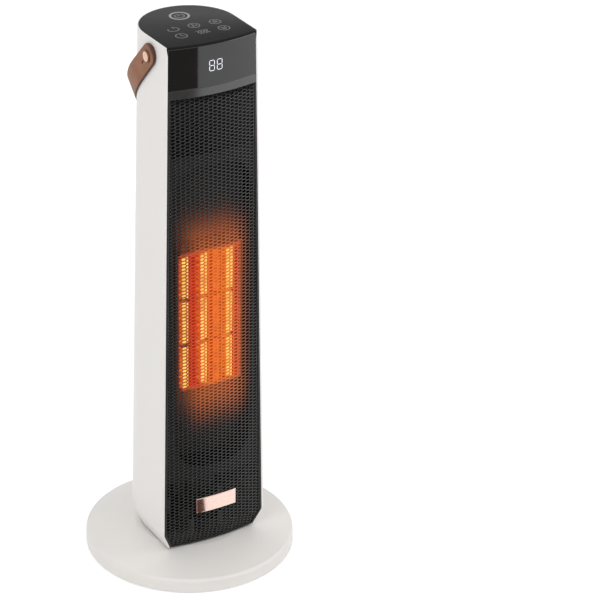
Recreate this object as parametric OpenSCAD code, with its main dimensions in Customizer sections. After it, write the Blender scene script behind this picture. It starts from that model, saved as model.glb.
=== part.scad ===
// Ceramic tower heater: a tapered D-shaped tower with a perforated front,
// a blower and a finned ceramic heating pack behind it, on a round base that swings it from side to side

/* [Base] */
// Diameter of the round base
base_d = 235; // [220:1:255]
// Height of the base at its rim
base_rim_h = 17.5; // [14:0.5:18]
// Height of the flat top in the middle of the base
base_top_h = 27.5; // [26:0.5:31]
// Radius of that flat top
base_flat_r = 62; // [58:1:70]
// Wall thickness of the base cover
base_wall = 3; // [2:0.5:4]
// Radius of the rounded upper edge of the rim
base_edge_r = 4; // [1:0.5:4]
// Thickness of the plate that closes the base
plate_t = 2; // [1.5:0.5:3]
// Height of the rubber feet under that plate
feet_h = 1.5; // [1:0.5:3]
// Diameter of one rubber foot
feet_d = 18; // [12:1:24]
// Number of rubber feet
feet_n = 6; // [4:1:8]
// Thickness of the steel weight
weight_t = 10; // [6:1:10]
// Radius of the cord hole in the gland
gland_bore_r = 3; // [2.5:0.1:3.2]

/* [Tower] */
// Height of the whole heater
total_h = 625; // [600:1:650]
// Gap between the base and the tower
tower_gap = 2; // [1.5:0.5:4]
// Width of the tower at its foot
foot_w = 129.5; // [124:0.5:132]
// Width of the tower at its top
top_w = 107; // [103:0.5:112]
// Distance of the front corners from the swing axis at the foot
foot_front = 55.5; // [53:0.5:58]
// Distance of the front corners from the swing axis at the top
top_front = 47.5; // [46:0.5:52]
// How far the front bulges past its corners
bulge = 7.6; // [6:0.2:9]
// Where the round back starts, behind the swing axis
round_y = 0.75; // [0:0.25:3]
// Wall thickness of the white casing
wall = 2.25; // [2:0.25:3]
// Height of the slanted foot of the tower
bevel_h = 19.5; // [16:0.5:24]
// How far the sides draw in at the foot
bevel_in = 9.5; // [8:0.5:12]
// Height of the slanted foot of the front
front_bevel_h = 11; // [8:1:14]
// How far the front draws in at the foot
front_bevel_in = 6.5; // [3:0.5:7]

/* [Front] */
// Depth of the front frame
frame_d = 5; // [4:0.5:7]
// Width of the frame beside the mesh
frame_side = 2.2; // [1.5:0.1:4]
// Height of the plain band between the display and the mesh
band_h = 9.5; // [7:0.5:14]
// Height of the glossy display panel with the edge of the top
display_h = 48; // [42:1:54]
// Thickness of the display panel
panel_t = 3; // [2:0.5:4]
// Thickness of the top panel
top_t = 2.4; // [1.6:0.2:3]
// Width of the casing's rim round the top panel
rim_w = 1; // [0.6:0.1:1.4]
// Thickness of the perforated front
mesh_t = 1.2; // [0.8:0.1:1.6]
// Columns of holes in the perforated front
mesh_cols = 9; // [7:2:11]
// Rows of holes in each column
mesh_rows = 32; // [24:1:33]
// Width of the web between two holes
mesh_web = 3.2; // [2.4:0.2:4]
// Width of the name plate
badge_w = 51; // [40:1:60]
// Height of the name plate
badge_h = 19; // [14:1:24]
// Thickness of the name plate
badge_t = 1.2; // [0.8:0.1:2]
// Height of the middle of the name plate above the floor
badge_z = 80; // [70:1:100]

/* [Outlet and heater] */
// Width of the oval outlet behind the mesh
outlet_w = 94; // [90:1:96]
// Height of the oval outlet
outlet_h = 360; // [330:5:380]
// Corner radius of the oval outlet
outlet_r = 34; // [24:1:42]
// Height of the middle of the heater above the floor
heater_z = 302; // [290:1:315]
// Width of the heating pack
heater_w = 74; // [70:1:76]
// Height of the heating pack
heater_h = 158; // [140:1:170]
// Depth of the heating pack
heater_d = 14; // [10:1:16]
// How far the heating pack lies behind the front
heater_back = 16; // [15:0.5:18]
// Places of the ceramic columns across the heating pack
ptc_x = [-28.8, -5.9, 9.7, 25.4]; // [-30:0.1:30]
// Width of one ceramic column
ptc_w = 8; // [5:0.5:9]
// Number of turns of one finned strip
fin_turns = 22; // [14:1:26]

/* [Blower] */
// Radius of the blower wheel
wheel_r = 30; // [27:0.5:31]
// Length of the blower wheel
wheel_l = 200; // [170:5:210]
// Number of blades
blade_n = 26; // [18:1:30]
// Depth of one blade
blade_d = 6.5; // [5:0.5:8]
// Distance of the wheel's axis behind the swing axis
wheel_y = 9; // [7:0.5:10]
// Radius of the motor shaft
shaft_r = 3; // [2.5:0.25:4]
// Radius of the blower motor
motor_r = 26; // [22:1:28]
// Height of the blower motor
motor_h = 36; // [28:1:42]

/* [Swing drive] */
// Outer radius of the hollow post that the tower turns on
post_r = 14; // [13:0.5:15]
// Wall thickness of that post
post_wall = 4; // [3:0.5:5]
// Tooth size of the two gears
gear_module = 1.25; // [1.25:0.05:1.3]
// Teeth of the fixed gear, counted round the full circle
gear_teeth = 44; // [44:1:46]
// Teeth of the pinion
pinion_teeth = 16; // [16:1:17]
// Thickness of the gears
gear_t = 5; // [4:0.5:6]
// How far the tower swings to each side
swing_deg = 35; // [25:5:40]

/* [Strap] */
// Height of the studs below the top
stud_drop = 19.5; // [19:0.5:26]
// Distance of the studs in front of the swing axis
stud_front = 14.4; // [10:0.2:18]
// Width of the leather strap
strap_w = 26; // [22:0.5:28]
// Thickness of the leather strap
strap_t = 3; // [2:0.25:3.5]
// Reach of the strap from its studs
strap_reach = 116; // [115:0.5:120]
// Length of the strap's straight arms
strap_arm = 34; // [30:1:38]
// How square the strap's bend is, from 1 for an even curve
strap_square = 1.1; // [1:0.05:1.4]
// How far the strap hangs down from level
strap_deg = 46; // [44:0.5:48]
// Radius of the stud's shank
stud_r = 3; // [2:0.25:4]

/* [Rear] */
// Width of the rear intake
intake_w = 76; // [64:2:80]
// Height of the rear intake
intake_h = 238; // [203:7:252]
// Height of one slot in the rear intake
slot_h = 3.4; // [2.5:0.1:4]
// Distance between two rows of slots
slot_pitch = 7; // [6:0.5:9]
// Height of the middle of the rocker switch above the floor
switch_z = 78; // [70:1:90]
// Width of the rocker switch
switch_w = 21; // [18:0.5:24]
// Height of the rocker switch
switch_h = 15; // [13:0.5:18]

/* [Hidden] */

// Colours
white = [0.91, 0.9, 0.88];
black = [0.07, 0.07, 0.075];
glossy = [0.12, 0.12, 0.125];
dark = [0.2, 0.2, 0.21];
steel = [0.6, 0.61, 0.62];
metal = [0.75, 0.76, 0.77];
copper = [0.9, 0.72, 0.64];
leather = [0.55, 0.38, 0.3];
ceramic = [0.9, 0.45, 0.15];
board = [0.12, 0.33, 0.2];
grey = [0.45, 0.45, 0.46];
nylon = [0.86, 0.86, 0.82];

// Fits and small clearances
fit = 0.3;
run = 0.05;
touch = 0.1;
past = 1;
base_r = base_d / 2;

// Points along the bulged front and round the back of one tower outline
front_n = 12;
back_n = 32;
round_fn = 96;
small_fn = 32;

// Heights up the swing joint
plate_z = feet_h;
plate_top = plate_z + plate_t;
foot_z = base_top_h + tower_gap;
floor_t = 3;
floor_top = foot_z + floor_t;
drive_h = 19;
drive_top = floor_top + drive_h;
drive_boss_h = 1.2;
gear_z = drive_top + drive_boss_h;
collar_top = gear_z - fit;
collar_wall = 4;
post_flange_r = 32;
post_flange_t = 3;
post_neck = 2;
post_step = 1;
key_y = post_r - 1.7;
clip_t = 1.2;
clip_r = post_r + 2;
post_screw_r = 25;

// Involute gears
pressure = 20;
gear_r = gear_module * gear_teeth / 2;
pinion_r = gear_module * pinion_teeth / 2;
gear_distance = gear_r + pinion_r;
addendum = 0.85 * gear_module;
dedendum = 1.2 * gear_module;
backlash = 0.3;
flank_n = 4;
mesh_reach = 26;
pinion_shaft_r = 2.5;
drive_r = 14;

// Front panels
top_z = total_h - top_t;
display_z = total_h - display_h;
band_z = display_z - band_h;
frame_skin = 0.3;
mesh_in = 1.2;
mesh_lip = 1.2;
mesh_low = foot_z + front_bevel_h + 1.5;
tub_wall = 2;
tub_z = band_z + past;

// Outlet and heater places
flange_t = 2;
flange_in = mesh_in + mesh_t + touch;
flange_side = wall + fit + frame_side - mesh_lip + fit;
duct_wall = 2;
duct_over = 14;
heater_y = -front_reach(heater_z) + heater_back;
heater_end = heater_y + heater_d;
heater_rim = 4;
duct_back = heater_end + touch;
outlet_z = heater_z + 6;
ptc_parts = 3;
ptc_gap = 5;
ptc_d = heater_d - 2;
fin_t = 0.9;
fin_d = heater_d - 4;
cutout_r = 8;
tab_y = 6;
tab_w = 6;
tab_t = 0.8;
tab_h = 14;

// Blower places
wheel_z = heater_z - wheel_l / 2;
wheel_top = wheel_z + wheel_l;
end_gap = 3;
end_t = 2.5;
end_z = wheel_z - end_gap - end_t;
end_top = wheel_top + end_gap;
house_back = duct_back + duct_wall;
house_w = heater_w / 2 + 3.5;
house_t = 2;
disc_t = 1.5;
disc_n = 3;
hub_r = shaft_r + 3.5;
hub_l = 8;
axle_r = 2.5;
bearing_r = 7;

// Rear places
switch_tilt = 8;
intake_z = heater_z;
grille_in = 0.4;
grille_t = wall - grille_in;
filter_t = 1.2;
intake_bar = 2.5;
intake_bays = 3;

// Strap places
stud_z = total_h - stud_drop;
strap_hole_r = stud_r + run;
stud_gap = 0.6;
stud_base_r = 4.5;
strap_slit = 11.5;
slit_end_r = 1.2;
slit_w = 0.6;
strap_past = 3;
bend_n = 16;
strap_x = half_w(stud_z) + stud_gap + strap_t / 2;

// Top control icons: places of the touch pads
icon_x = 24.7;
icon_y = [-6.5, -26];
power_y = 24.5;

// A value between a and b
function lerp(a, b, t) = a + (b - a) * t;
// How far up the tower a height is, from 0 at the foot to 1 at the top
function rise(z) = (z - foot_z) / (total_h - foot_z);
// Half width of the tower at a height
function half_w(z) = lerp(foot_w, top_w, rise(z)) / 2;
// Distance of the front corners from the swing axis at a height
function corner_y(z) = lerp(foot_front, top_front, rise(z));
// Distance of the middle of the front from the swing axis at a height
function front_reach(z) = corner_y(z) + bulge;
// Radius of the bulged front at a height
function bulge_r(z) = (pow(half_w(z), 2) + pow(bulge, 2)) / (2 * bulge);
// Distance of the back from the swing axis at a height
function back_reach(z) = round_y + half_w(z);
// How far a slanted foot of height h draws in at a height, from 0 to 1
function draw_in(z, h) = max(0, 1 - (z - foot_z) / h);

// One D-shaped outline of the tower at a height, moved in by side on the walls and by front on the face
function outline(z, side, front) =
    let (
        w = half_w(z) - side - bevel_in * draw_in(z, bevel_h),
        r = bulge_r(z) - front - front_bevel_in * draw_in(z, front_bevel_h),
        cy = bulge_r(z) - front_reach(z)
    )
    concat(
        [for (i = [0 : front_n]) let (x = w * (2 * i / front_n - 1)) [x, cy - sqrt(r * r - x * x), z]],
        [for (i = [0 : back_n]) let (a = 180 * i / back_n) [w * cos(a), round_y + w * sin(a), z]]
    );

// Solid through a list of outlines with equal numbers of points, lowest first
module loft(rings) {
    n = len(rings[0]);
    m = len(rings);
    polyhedron(
        points = [for (r = rings) each r],
        faces = concat(
            [[for (i = [0 : n - 1]) i]],
            [for (k = [0 : m - 2], i = [0 : n - 1])
                let (a = k * n + i, b = k * n + (i + 1) % n)
                each [[a, a + n, b + n], [a, b + n, b]]],
            [[for (i = [n - 1 : -1 : 0]) (m - 1) * n + i]]
        )
    );
}

// Block with the tower's outline between two heights
module tower_block(low, high, side, front) {
    levels = concat(
        [low],
        [for (z = [foot_z + front_bevel_h, foot_z + bevel_h]) if (z > low && z < high) z],
        [high]
    );
    loft([for (z = levels) outline(z, side, front)]);
}

// Curved slab that follows the front, between two depths
module front_slab(low, high, side, from, to) {
    difference() {
        tower_block(low, high, side, from);
        tower_block(low - past, high + past, side - past, to);
    }
}

// Curved slab that follows the sides and the back, between two depths
module back_slab(low, high, from, to) {
    difference() {
        tower_block(low, high, from, 0);
        tower_block(low - past, high + past, to, -frame_d - foot_front);
    }
}

// Prism through the front or the back of the tower, from a flat outline in X and Z
module through_front(from, to) {
    translate([0, to, 0]) rotate([90, 0, 0]) linear_extrude(height = to - from) children();
}

// Box between two corners
module span(low, high) {
    translate(low) cube(high - low);
}

// Round bar along Y
module bar_y(x, y, z, r, l) {
    translate([x, y, z]) rotate([-90, 0, 0]) cylinder(r = r, h = l, $fn = small_fn);
}

// Children repeated n times round the Z axis
module around(n, start = 0) {
    for (i = [0 : n - 1]) rotate([0, 0, start + 360 * i / n]) children();
}

// Base

// Height of the base's outer skin at a radius
dome_c = (pow(base_r - base_edge_r, 2) - pow(base_flat_r, 2) + pow(base_rim_h, 2) - pow(base_top_h, 2))
    / (2 * (base_rim_h - base_top_h));
dome_r = sqrt(pow(base_flat_r, 2) + pow(base_top_h - dome_c, 2));
function dome(r) = dome_c + sqrt(dome_r * dome_r - r * r);
dome_n = 6;
edge_n = 5;

// Half section of the base cover's outside, or of its hollow when moved in by the wall
module base_section(inset) {
    r = base_r - base_edge_r;
    low = inset == 0 ? plate_z : plate_z - past;
    polygon(concat(
        [[0, low], [base_r - inset, low]],
        [for (i = [0 : edge_n]) let (a = 90 * i / edge_n, e = max(base_edge_r - inset, 0.1))
            [r + min(0, base_edge_r - inset - e) + e * cos(a), dome(r) - inset - e + e * sin(a)]],
        [for (i = [0 : dome_n]) let (q = lerp(r - inset, base_flat_r, i / dome_n)) [q, dome(q) - inset]],
        [[0, base_top_h - inset]]
    ));
}

boss_r = 4;
boss_hole_r = 1.5;
boss_hole_h = 9;
boss_ring_r = base_r - base_wall - boss_r - 4;
boss_n = 6;
boss_top = dome(boss_ring_r + boss_r) - base_wall / 2;
weight_r = boss_ring_r - boss_r - 3;
gland_flange_r = 4.6;
gland_flange_t = 1.6;
gland_r = gland_bore_r + 0.9;
gland_z = plate_top + gland_flange_r + touch;
gland_l = 9;
gland_seat = 0.4;

module base_cover() color(white) difference() {
    union() {
        difference() {
            rotate_extrude($fn = round_fn) base_section(0);
            rotate_extrude($fn = round_fn) base_section(base_wall);
        }
        around(boss_n) translate([boss_ring_r, 0, plate_top])
            cylinder(r = boss_r, h = boss_top - plate_top, $fn = small_fn);
    }
    around(boss_n) translate([boss_ring_r, 0, plate_top - past])
        cylinder(r = boss_hole_r, h = boss_hole_h + past, $fn = small_fn);
    translate([0, 0, plate_z]) cylinder(r = post_r + run, h = base_top_h, $fn = small_fn);
    around(3, 30) translate([post_screw_r, 0, base_top_h - base_wall - past])
        cylinder(r = boss_hole_r, h = past + base_wall - 1, $fn = small_fn);
    bar_y(0, base_r - gland_l, gland_z, gland_r + run, gland_l + past);
    bar_y(0, base_r - gland_seat - gland_flange_t, gland_z, gland_flange_r + run, gland_l);
}

module base_plate() color(dark) difference() {
    translate([0, 0, plate_z]) cylinder(r = base_r - base_wall - fit, h = plate_t, $fn = round_fn);
    around(boss_n) translate([boss_ring_r, 0, 0])
        cylinder(r = boss_hole_r + 0.3, h = base_rim_h, $fn = small_fn);
    around(feet_n, feet_start) translate([feet_ring_r, 0, 0])
        cylinder(r = feet_plug_r + run, h = base_rim_h, $fn = small_fn);
}

feet_ring_r = boss_ring_r - boss_r - feet_d / 2 + 2;
feet_start = 180 / boss_n;
feet_plug_r = 3;
feet_plug_h = 1.2;

module base_feet() color(black) around(feet_n, feet_start) translate([feet_ring_r, 0, 0]) {
    cylinder(r = feet_d / 2, h = feet_h, $fn = small_fn);
    cylinder(r = feet_plug_r, h = plate_top - touch, $fn = small_fn);
}

weight_hole_r = post_flange_r + 8;

module base_weight() color(steel) difference() {
    translate([0, 0, plate_top]) cylinder(r = weight_r, h = weight_t, $fn = round_fn);
    translate([0, 0, plate_z]) cylinder(r = weight_hole_r, h = weight_t + 2 * plate_t, $fn = round_fn);
    around(4, 45) translate([(weight_r + weight_hole_r) / 2, 0, plate_z])
        cylinder(r = 4, h = weight_t + 2 * plate_t, $fn = small_fn);
    span([-gland_r, weight_hole_r - past, plate_z], [gland_r, weight_r + past, base_top_h]);
}

screw_head_h = 1.2;

module base_screws() color(metal) {
    around(boss_n) translate([boss_ring_r, 0, plate_z - screw_head_h]) {
        cylinder(r = 2 * boss_hole_r, h = screw_head_h, $fn = small_fn);
        cylinder(r = boss_hole_r - run, h = screw_head_h + plate_t + 7, $fn = small_fn);
    }
    around(3, 30) translate([post_screw_r, 0, base_top_h - base_wall - post_flange_t - screw_head_h]) {
        cylinder(r = 2 * boss_hole_r, h = screw_head_h, $fn = small_fn);
        cylinder(r = boss_hole_r - run, h = screw_head_h + post_flange_t + base_wall - 1.2, $fn = small_fn);
    }
}

module cord_gland() color(black) difference() {
    union() {
        bar_y(0, base_r - gland_l - 2, gland_z, gland_r, gland_l + 2 - gland_seat);
        bar_y(0, base_r - gland_seat - gland_flange_t, gland_z, gland_flange_r, gland_flange_t);
        bar_y(0, base_r - gland_l - 2, gland_z, gland_r + 0.8, 2 - fit);
    }
    bar_y(0, base_r - gland_l - 3, gland_z, gland_bore_r, gland_l + 4);
}

// Swing joint

module pivot_post() color(nylon) difference() {
    union() {
        translate([0, 0, base_top_h - base_wall - post_flange_t])
            cylinder(r = post_flange_r, h = post_flange_t, $fn = round_fn);
        translate([0, 0, base_top_h - base_wall - post_flange_t])
            cylinder(r = post_r, h = gear_z - base_top_h + base_wall + post_flange_t, $fn = round_fn);
        translate([0, 0, gear_z - past]) intersection() {
            cylinder(r = post_r - post_step, h = gear_t + clip_t + post_neck + past, $fn = round_fn);
            span([-post_r, -key_y, 0], [post_r, key_y, total_h]);
        }
    }
    translate([0, 0, -past]) cylinder(r = post_r - post_wall, h = total_h, $fn = round_fn);
    around(3, 30) translate([post_screw_r, 0, 0])
        cylinder(r = boss_hole_r + touch, h = base_top_h, $fn = small_fn);
    translate([0, 0, gear_z + gear_t]) difference() {
        cylinder(r = post_r, h = clip_t, $fn = round_fn);
        translate([0, 0, -past])
            cylinder(r = post_r - 2 * post_step, h = clip_t + 2 * past, $fn = round_fn);
    }
}

ring_gap = 24;
ring_w = 10;
ring_in = post_r + ring_gap;
ring_out = ring_in + ring_w;

module glide_ring() color(nylon) difference() {
    translate([0, 0, base_top_h]) cylinder(r = ring_out, h = tower_gap, $fn = round_fn);
    translate([0, 0, base_top_h - past]) cylinder(r = ring_in, h = tower_gap + 2 * past, $fn = round_fn);
}

// Involute of the pressure angle, in degrees
function inv(a) = tan(a) * 180 / PI - a;
// Half angle of a tooth at radius r, on a gear of pitch radius p with n teeth
function tooth_half(r, p, n) =
    90 / n - (backlash / 2) / p * 90 / PI + inv(pressure) - inv(acos(min(1, p * cos(pressure) / r)));
// Points of one tooth, from its lower flank over its tip to its upper flank
function tooth(p, n) =
    let (low = p - dedendum, base = max(low, p * cos(pressure)), tip = p + addendum,
         radii = [for (i = [0 : flank_n]) lerp(base, tip, i / flank_n)])
    concat(
        [[low, -tooth_half(base, p, n)]],
        [for (r = radii) [r, -tooth_half(r, p, n)]],
        [for (i = [flank_n : -1 : 0]) [radii[i], tooth_half(radii[i], p, n)]],
        [[low, tooth_half(base, p, n)]]
    );
// Outline of a gear with teeth from number first to number last, centred on a tooth at angle a
module gear_outline(p, n, first, last, a) {
    polygon([for (k = [first : last], q = tooth(p, n))
        let (b = a + 360 * k / n + q[1]) [q[0] * cos(b), q[0] * sin(b)]]);
}

sector_half = ceil((swing_deg + mesh_reach) * gear_teeth / 360);
toward_drive = -90;

module swing_gear() color(nylon) difference() {
    translate([0, 0, gear_z]) linear_extrude(height = gear_t) union() {
        gear_outline(gear_r, gear_teeth, -sector_half, sector_half, toward_drive);
        circle(r = gear_r - dedendum - 0.2, $fn = round_fn);
    }
    translate([0, 0, gear_z - past]) intersection() {
        cylinder(r = post_r - post_step + run, h = gear_t + 2 * past, $fn = round_fn);
        span([-post_r, -key_y - run, 0], [post_r, key_y + run, total_h]);
    }
}

module post_clip() color(steel) difference() {
    translate([0, 0, gear_z + gear_t]) cylinder(r = clip_r, h = clip_t, $fn = round_fn);
    translate([0, 0, gear_z]) cylinder(r = post_r - 2 * post_step + touch, h = 2 * gear_t, $fn = round_fn);
    span([-post_step * 3, 0, gear_z], [post_step * 3, clip_r + past, gear_z + 2 * gear_t]);
}

// The pinion meshes a gap of its own with the middle tooth of the fixed gear
pinion_turn = 90 + 180 / pinion_teeth;

module swing_pinion() color(nylon) translate([0, -gear_distance, 0]) union() {
    translate([0, 0, gear_z + touch]) linear_extrude(height = gear_t)
        gear_outline(pinion_r, pinion_teeth, 0, pinion_teeth - 1, pinion_turn);
    translate([0, 0, drive_top - drive_h / 2])
        cylinder(r = pinion_shaft_r, h = drive_h / 2 + drive_boss_h + gear_t + 2, $fn = small_fn);
}

drive_ear = 17.5;
drive_ear_r = 3.5;
drive_ear_t = 1;
drive_boss_r = 4.5;

module swing_motor() color(metal) translate([0, -gear_distance, 0]) difference() {
    union() {
        translate([0, 0, floor_top]) cylinder(r = drive_r, h = drive_h, $fn = small_fn);
        translate([0, 0, drive_top - past])
            cylinder(r = drive_boss_r, h = past + drive_boss_h - touch, $fn = small_fn);
        for (s = [-1, 1]) translate([s * drive_ear, 0, drive_top - drive_ear_t])
            cylinder(r = drive_ear_r, h = drive_ear_t, $fn = small_fn);
        span([-drive_ear, -drive_ear_r, drive_top - drive_ear_t], [drive_ear, drive_ear_r, drive_top]);
    }
    translate([0, 0, drive_top - drive_h / 2 - past])
        cylinder(r = pinion_shaft_r + run, h = drive_h, $fn = small_fn);
    for (s = [-1, 1]) translate([s * drive_ear, 0, floor_top])
        cylinder(r = boss_hole_r, h = drive_h + past, $fn = small_fn);
}

// Lower chassis of the tower

board_z = gear_z + gear_t + clip_t + post_neck + 5;
board_w = 76;
board_l = 50;
board_y = -14;
board_t = 1.6;
board_hole_r = 1.6;
board_post_r = 3.2;
board_inset = 5;
board_post_x = board_w / 2 - board_inset;
board_post_y = [board_y + board_inset, board_y + board_l - board_inset];
relay = [15, 19, 15];
relay_pitch = 18;
filter_cap = [24, 14, 17];
connector = [22, 12, 9];
can_r = 4;
can_h = 14;
foot_screw_z = floor_top + 24;
foot_screw_x = 20;
lug_w = 12;
lug_y = 7;

module tower_foot() color(black) difference() {
    lug_back = screw_seat(0) - seat_t - touch;
    union() {
        tower_block(foot_z, floor_top, wall + fit, frame_d + fit);
        translate([0, 0, foot_z])
            cylinder(r = post_r + collar_wall, h = collar_top - foot_z, $fn = round_fn);
        for (x = [-board_post_x, board_post_x], y = board_post_y)
            translate([x, y, floor_top - past])
                cylinder(r = board_post_r, h = board_z - floor_top + past, $fn = small_fn);
        for (s = [-1, 1]) {
            translate([s * drive_ear, -gear_distance, floor_top - past])
                cylinder(r = drive_ear_r - 0.5, h = drive_h - drive_ear_t + past, $fn = small_fn);
            intersection() {
                span([s * foot_screw_x - lug_w / 2, lug_back - lug_y, floor_top - past],
                    [s * foot_screw_x + lug_w / 2, lug_back, foot_screw_z + lug_w / 2]);
                tower_block(foot_z, foot_screw_z + 2 * lug_y, wall + fit, frame_d + fit);
            }
        }
        for (a = [45, 135, 200, 340]) rotate([0, 0, a])
            span([post_r + past, -1, floor_top - past], [post_r + collar_wall + 10, 1, floor_top + 8]);
    }
    translate([0, 0, foot_z - past]) cylinder(r = post_r + run, h = total_h, $fn = round_fn);
    for (s = [-1, 1]) {
        bar_y(s * foot_screw_x, screw_seat(0) - seat_t - lug_y - past, foot_screw_z,
            boss_hole_r, lug_y + 3);
        translate([s * drive_ear, -gear_distance, floor_top + 4])
            cylinder(r = 1, h = drive_h, $fn = small_fn);
        for (y = board_post_y) translate([s * board_post_x, y, board_z - 8])
            cylinder(r = 1, h = 8 + past, $fn = small_fn);
    }
}

module power_board() {
    color(board) difference() {
        span([-board_w / 2, board_y, board_z], [board_w / 2, board_y + board_l, board_z + board_t]);
        for (x = [-board_post_x, board_post_x], y = board_post_y)
            translate([x, y, board_z - past])
                cylinder(r = board_hole_r, h = board_t + 2 * past, $fn = small_fn);
    }
    top = board_z + board_t;
    color(black) for (i = [0 : 2]) translate([-26 + relay_pitch * i, board_y + 4, top]) cube(relay);
    color("#e8d044") translate([-26, board_y + 30, top]) cube(filter_cap);
    color(nylon) translate([2, board_y + 34, top]) cube(connector);
    color(dark) for (y = [24, 34]) translate([31, board_y + y, top])
        cylinder(r = can_r, h = can_h, $fn = small_fn);
}

tilt_x = -half_w(floor_top) + bevel_in + 22;

module tilt_switch() color(black) {
    span([tilt_x - 8, -26, floor_top], [tilt_x + 8, -13, floor_top + 15]);
    for (s = [-1, 1]) translate([tilt_x + 4 * s, -19.5, floor_top + 15])
        cylinder(r = 0.8, h = 5, $fn = small_fn);
}

// White casing

screw_z = [foot_screw_z, stud_z - 26];
screw_x = [foot_screw_x, 20];
screw_hole_r = 1.7;
head_r = 3.4;
head_t = 1.4;
seat_t = 2.5;
seat_r = head_r + 2.5;

// Flat seat of a casing screw's head, sunk into the round back
function screw_seat(k) =
    round_y + sqrt(pow(half_w(screw_z[k]), 2) - pow(screw_x[k] + head_r + fit, 2)) - head_t;
// Places of the casing screws along Y, from a distance behind their seats
module at_casing_screws(depth) {
    for (k = [0, 1], s = [-1, 1])
        translate([s * screw_x[k], screw_seat(k) - depth, screw_z[k]]) rotate([-90, 0, 0]) children();
}

module rear_shell() color(white) difference() {
    union() {
        back_slab(foot_z, total_h, 0, wall);
        intersection() {
            at_casing_screws(seat_t) cylinder(r = seat_r, h = base_r, $fn = small_fn);
            tower_block(foot_z, total_h, wall / 2, frame_d);
        }
    }
    tower_block(top_z, total_h + past, rim_w, -past);
    through_front(0, base_r) translate([-intake_w / 2, intake_z - intake_h / 2])
        square([intake_w, intake_h]);
    for (s = [-1, 1]) translate([s * half_w(stud_z), -stud_front, stud_z]) rotate([0, 90, 0])
        cylinder(r = stud_r - 1 + run, h = 4 * wall, center = true, $fn = small_fn);
    span([-switch_w / 2 + switch_rim, round_y, switch_z - switch_h / 2 + switch_rim],
        [switch_w / 2 - switch_rim, base_r, switch_z + switch_h / 2 - switch_rim]);
    at_casing_screws(4 * wall) cylinder(r = screw_hole_r, h = 8 * wall, $fn = small_fn);
    at_casing_screws(0) cylinder(r = head_r + fit, h = base_r, $fn = small_fn);
}

module casing_screws() color(metal) at_casing_screws(0) difference() {
    union() {
        cylinder(r = head_r, h = head_t, $fn = small_fn);
        translate([0, 0, -seat_t - lug_y + 1])
            cylinder(r = boss_hole_r - run, h = seat_t + lug_y, $fn = small_fn);
    }
    for (a = [0, 90]) rotate([0, 0, a]) translate([-2, -0.35, head_t - 0.7]) cube([4, 0.7, 1]);
}

// Front

// Outline of the mesh window in X and Z, drawn in from the frame's edge by a border
module window_outline(border) {
    function edge(z) = half_w(z) - wall - fit - frame_side - border - bevel_in * draw_in(z, bevel_h);
    levels = [mesh_low + border, foot_z + bevel_h, band_z - border];
    polygon(concat(
        [for (z = levels) [edge(z), z]],
        [for (i = [len(levels) - 1 : -1 : 0]) [-edge(levels[i]), levels[i]]]
    ));
}

module front_frame() color(black) difference() {
    front_slab(foot_z, display_z - touch, wall + touch, frame_skin, frame_d);
    through_front(-base_r, 0) window_outline(0);
    intersection() {
        tower_block(foot_z - past, total_h, wall - past, mesh_in - touch);
        through_front(-base_r, 0) window_outline(-mesh_lip);
    }
}

// One long hexagonal hole of the perforated front
module hole_outline(w, h) {
    polygon([[-w / 2, 0], [-w / 4, -h / 2], [w / 4, -h / 2], [w / 2, 0], [w / 4, h / 2], [-w / 4, h / 2]]);
}

// Staggered holes that fill the window, each column following the slant of the sides
module hole_pattern() {
    low = mesh_low + mesh_web;
    high = band_z - mesh_web;
    row = (high - low) / (mesh_rows + 0.5);
    for (c = [0 : mesh_cols - 1], r = [0 : mesh_rows - 1]) {
        z = low + row * (r + 0.5 + (c % 2) / 2);
        edge = half_w(z) - wall - fit - frame_side - mesh_web / 2;
        pitch = 2 * edge / (mesh_cols + 0.5);
        x = (c - (mesh_cols - 1) / 2) * pitch;
        in_bevel = abs(x) + pitch / 2 > edge - bevel_in * draw_in(z - row / 2, bevel_h);
        if (!in_bevel) translate([x, z]) hole_outline(pitch * 4 / 3 - mesh_web, row - mesh_web);
    }
}

module grille_mesh() color(black) difference() {
    intersection() {
        front_slab(foot_z + touch, display_z, wall + fit, mesh_in, mesh_in + mesh_t);
        through_front(-base_r, 0) window_outline(touch - mesh_lip);
    }
    through_front(-base_r, 0) hole_pattern();
}

// The plate bends with the front and its rim stands on the mesh
module nameplate() color(copper) intersection() {
    front_slab(badge_z - badge_h, badge_z + badge_h, wall,
        mesh_in - badge_t - touch / 2, mesh_in - touch / 2);
    through_front(-base_r, 0) translate([-badge_w / 2, badge_z - badge_h / 2])
        square([badge_w, badge_h]);
}

module display_panel() color(glossy) front_slab(display_z, top_z - touch / 2, wall + touch, 0, panel_t);

module top_panel() color(glossy) tower_block(top_z, total_h, rim_w + touch, 0);

lamp_w = 32;
lamp_h = 20;
lamp_z = total_h - 25;
lamp_d = 8;
lamp_y = -front_reach(lamp_z) + panel_t + 1;
led_w = 60;
led_h = 26;
led_back = lamp_y + lamp_d;
led_post_x = led_w / 2 - 3;
receiver_r = 2.5;
receiver_x = lamp_w / 2 + 6;
tub_boss_r = 9;
touch_posts = [[-34, -30], [34, -30], [-34, 30], [34, 30], [0, 0]];
post_half = 3;

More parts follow.
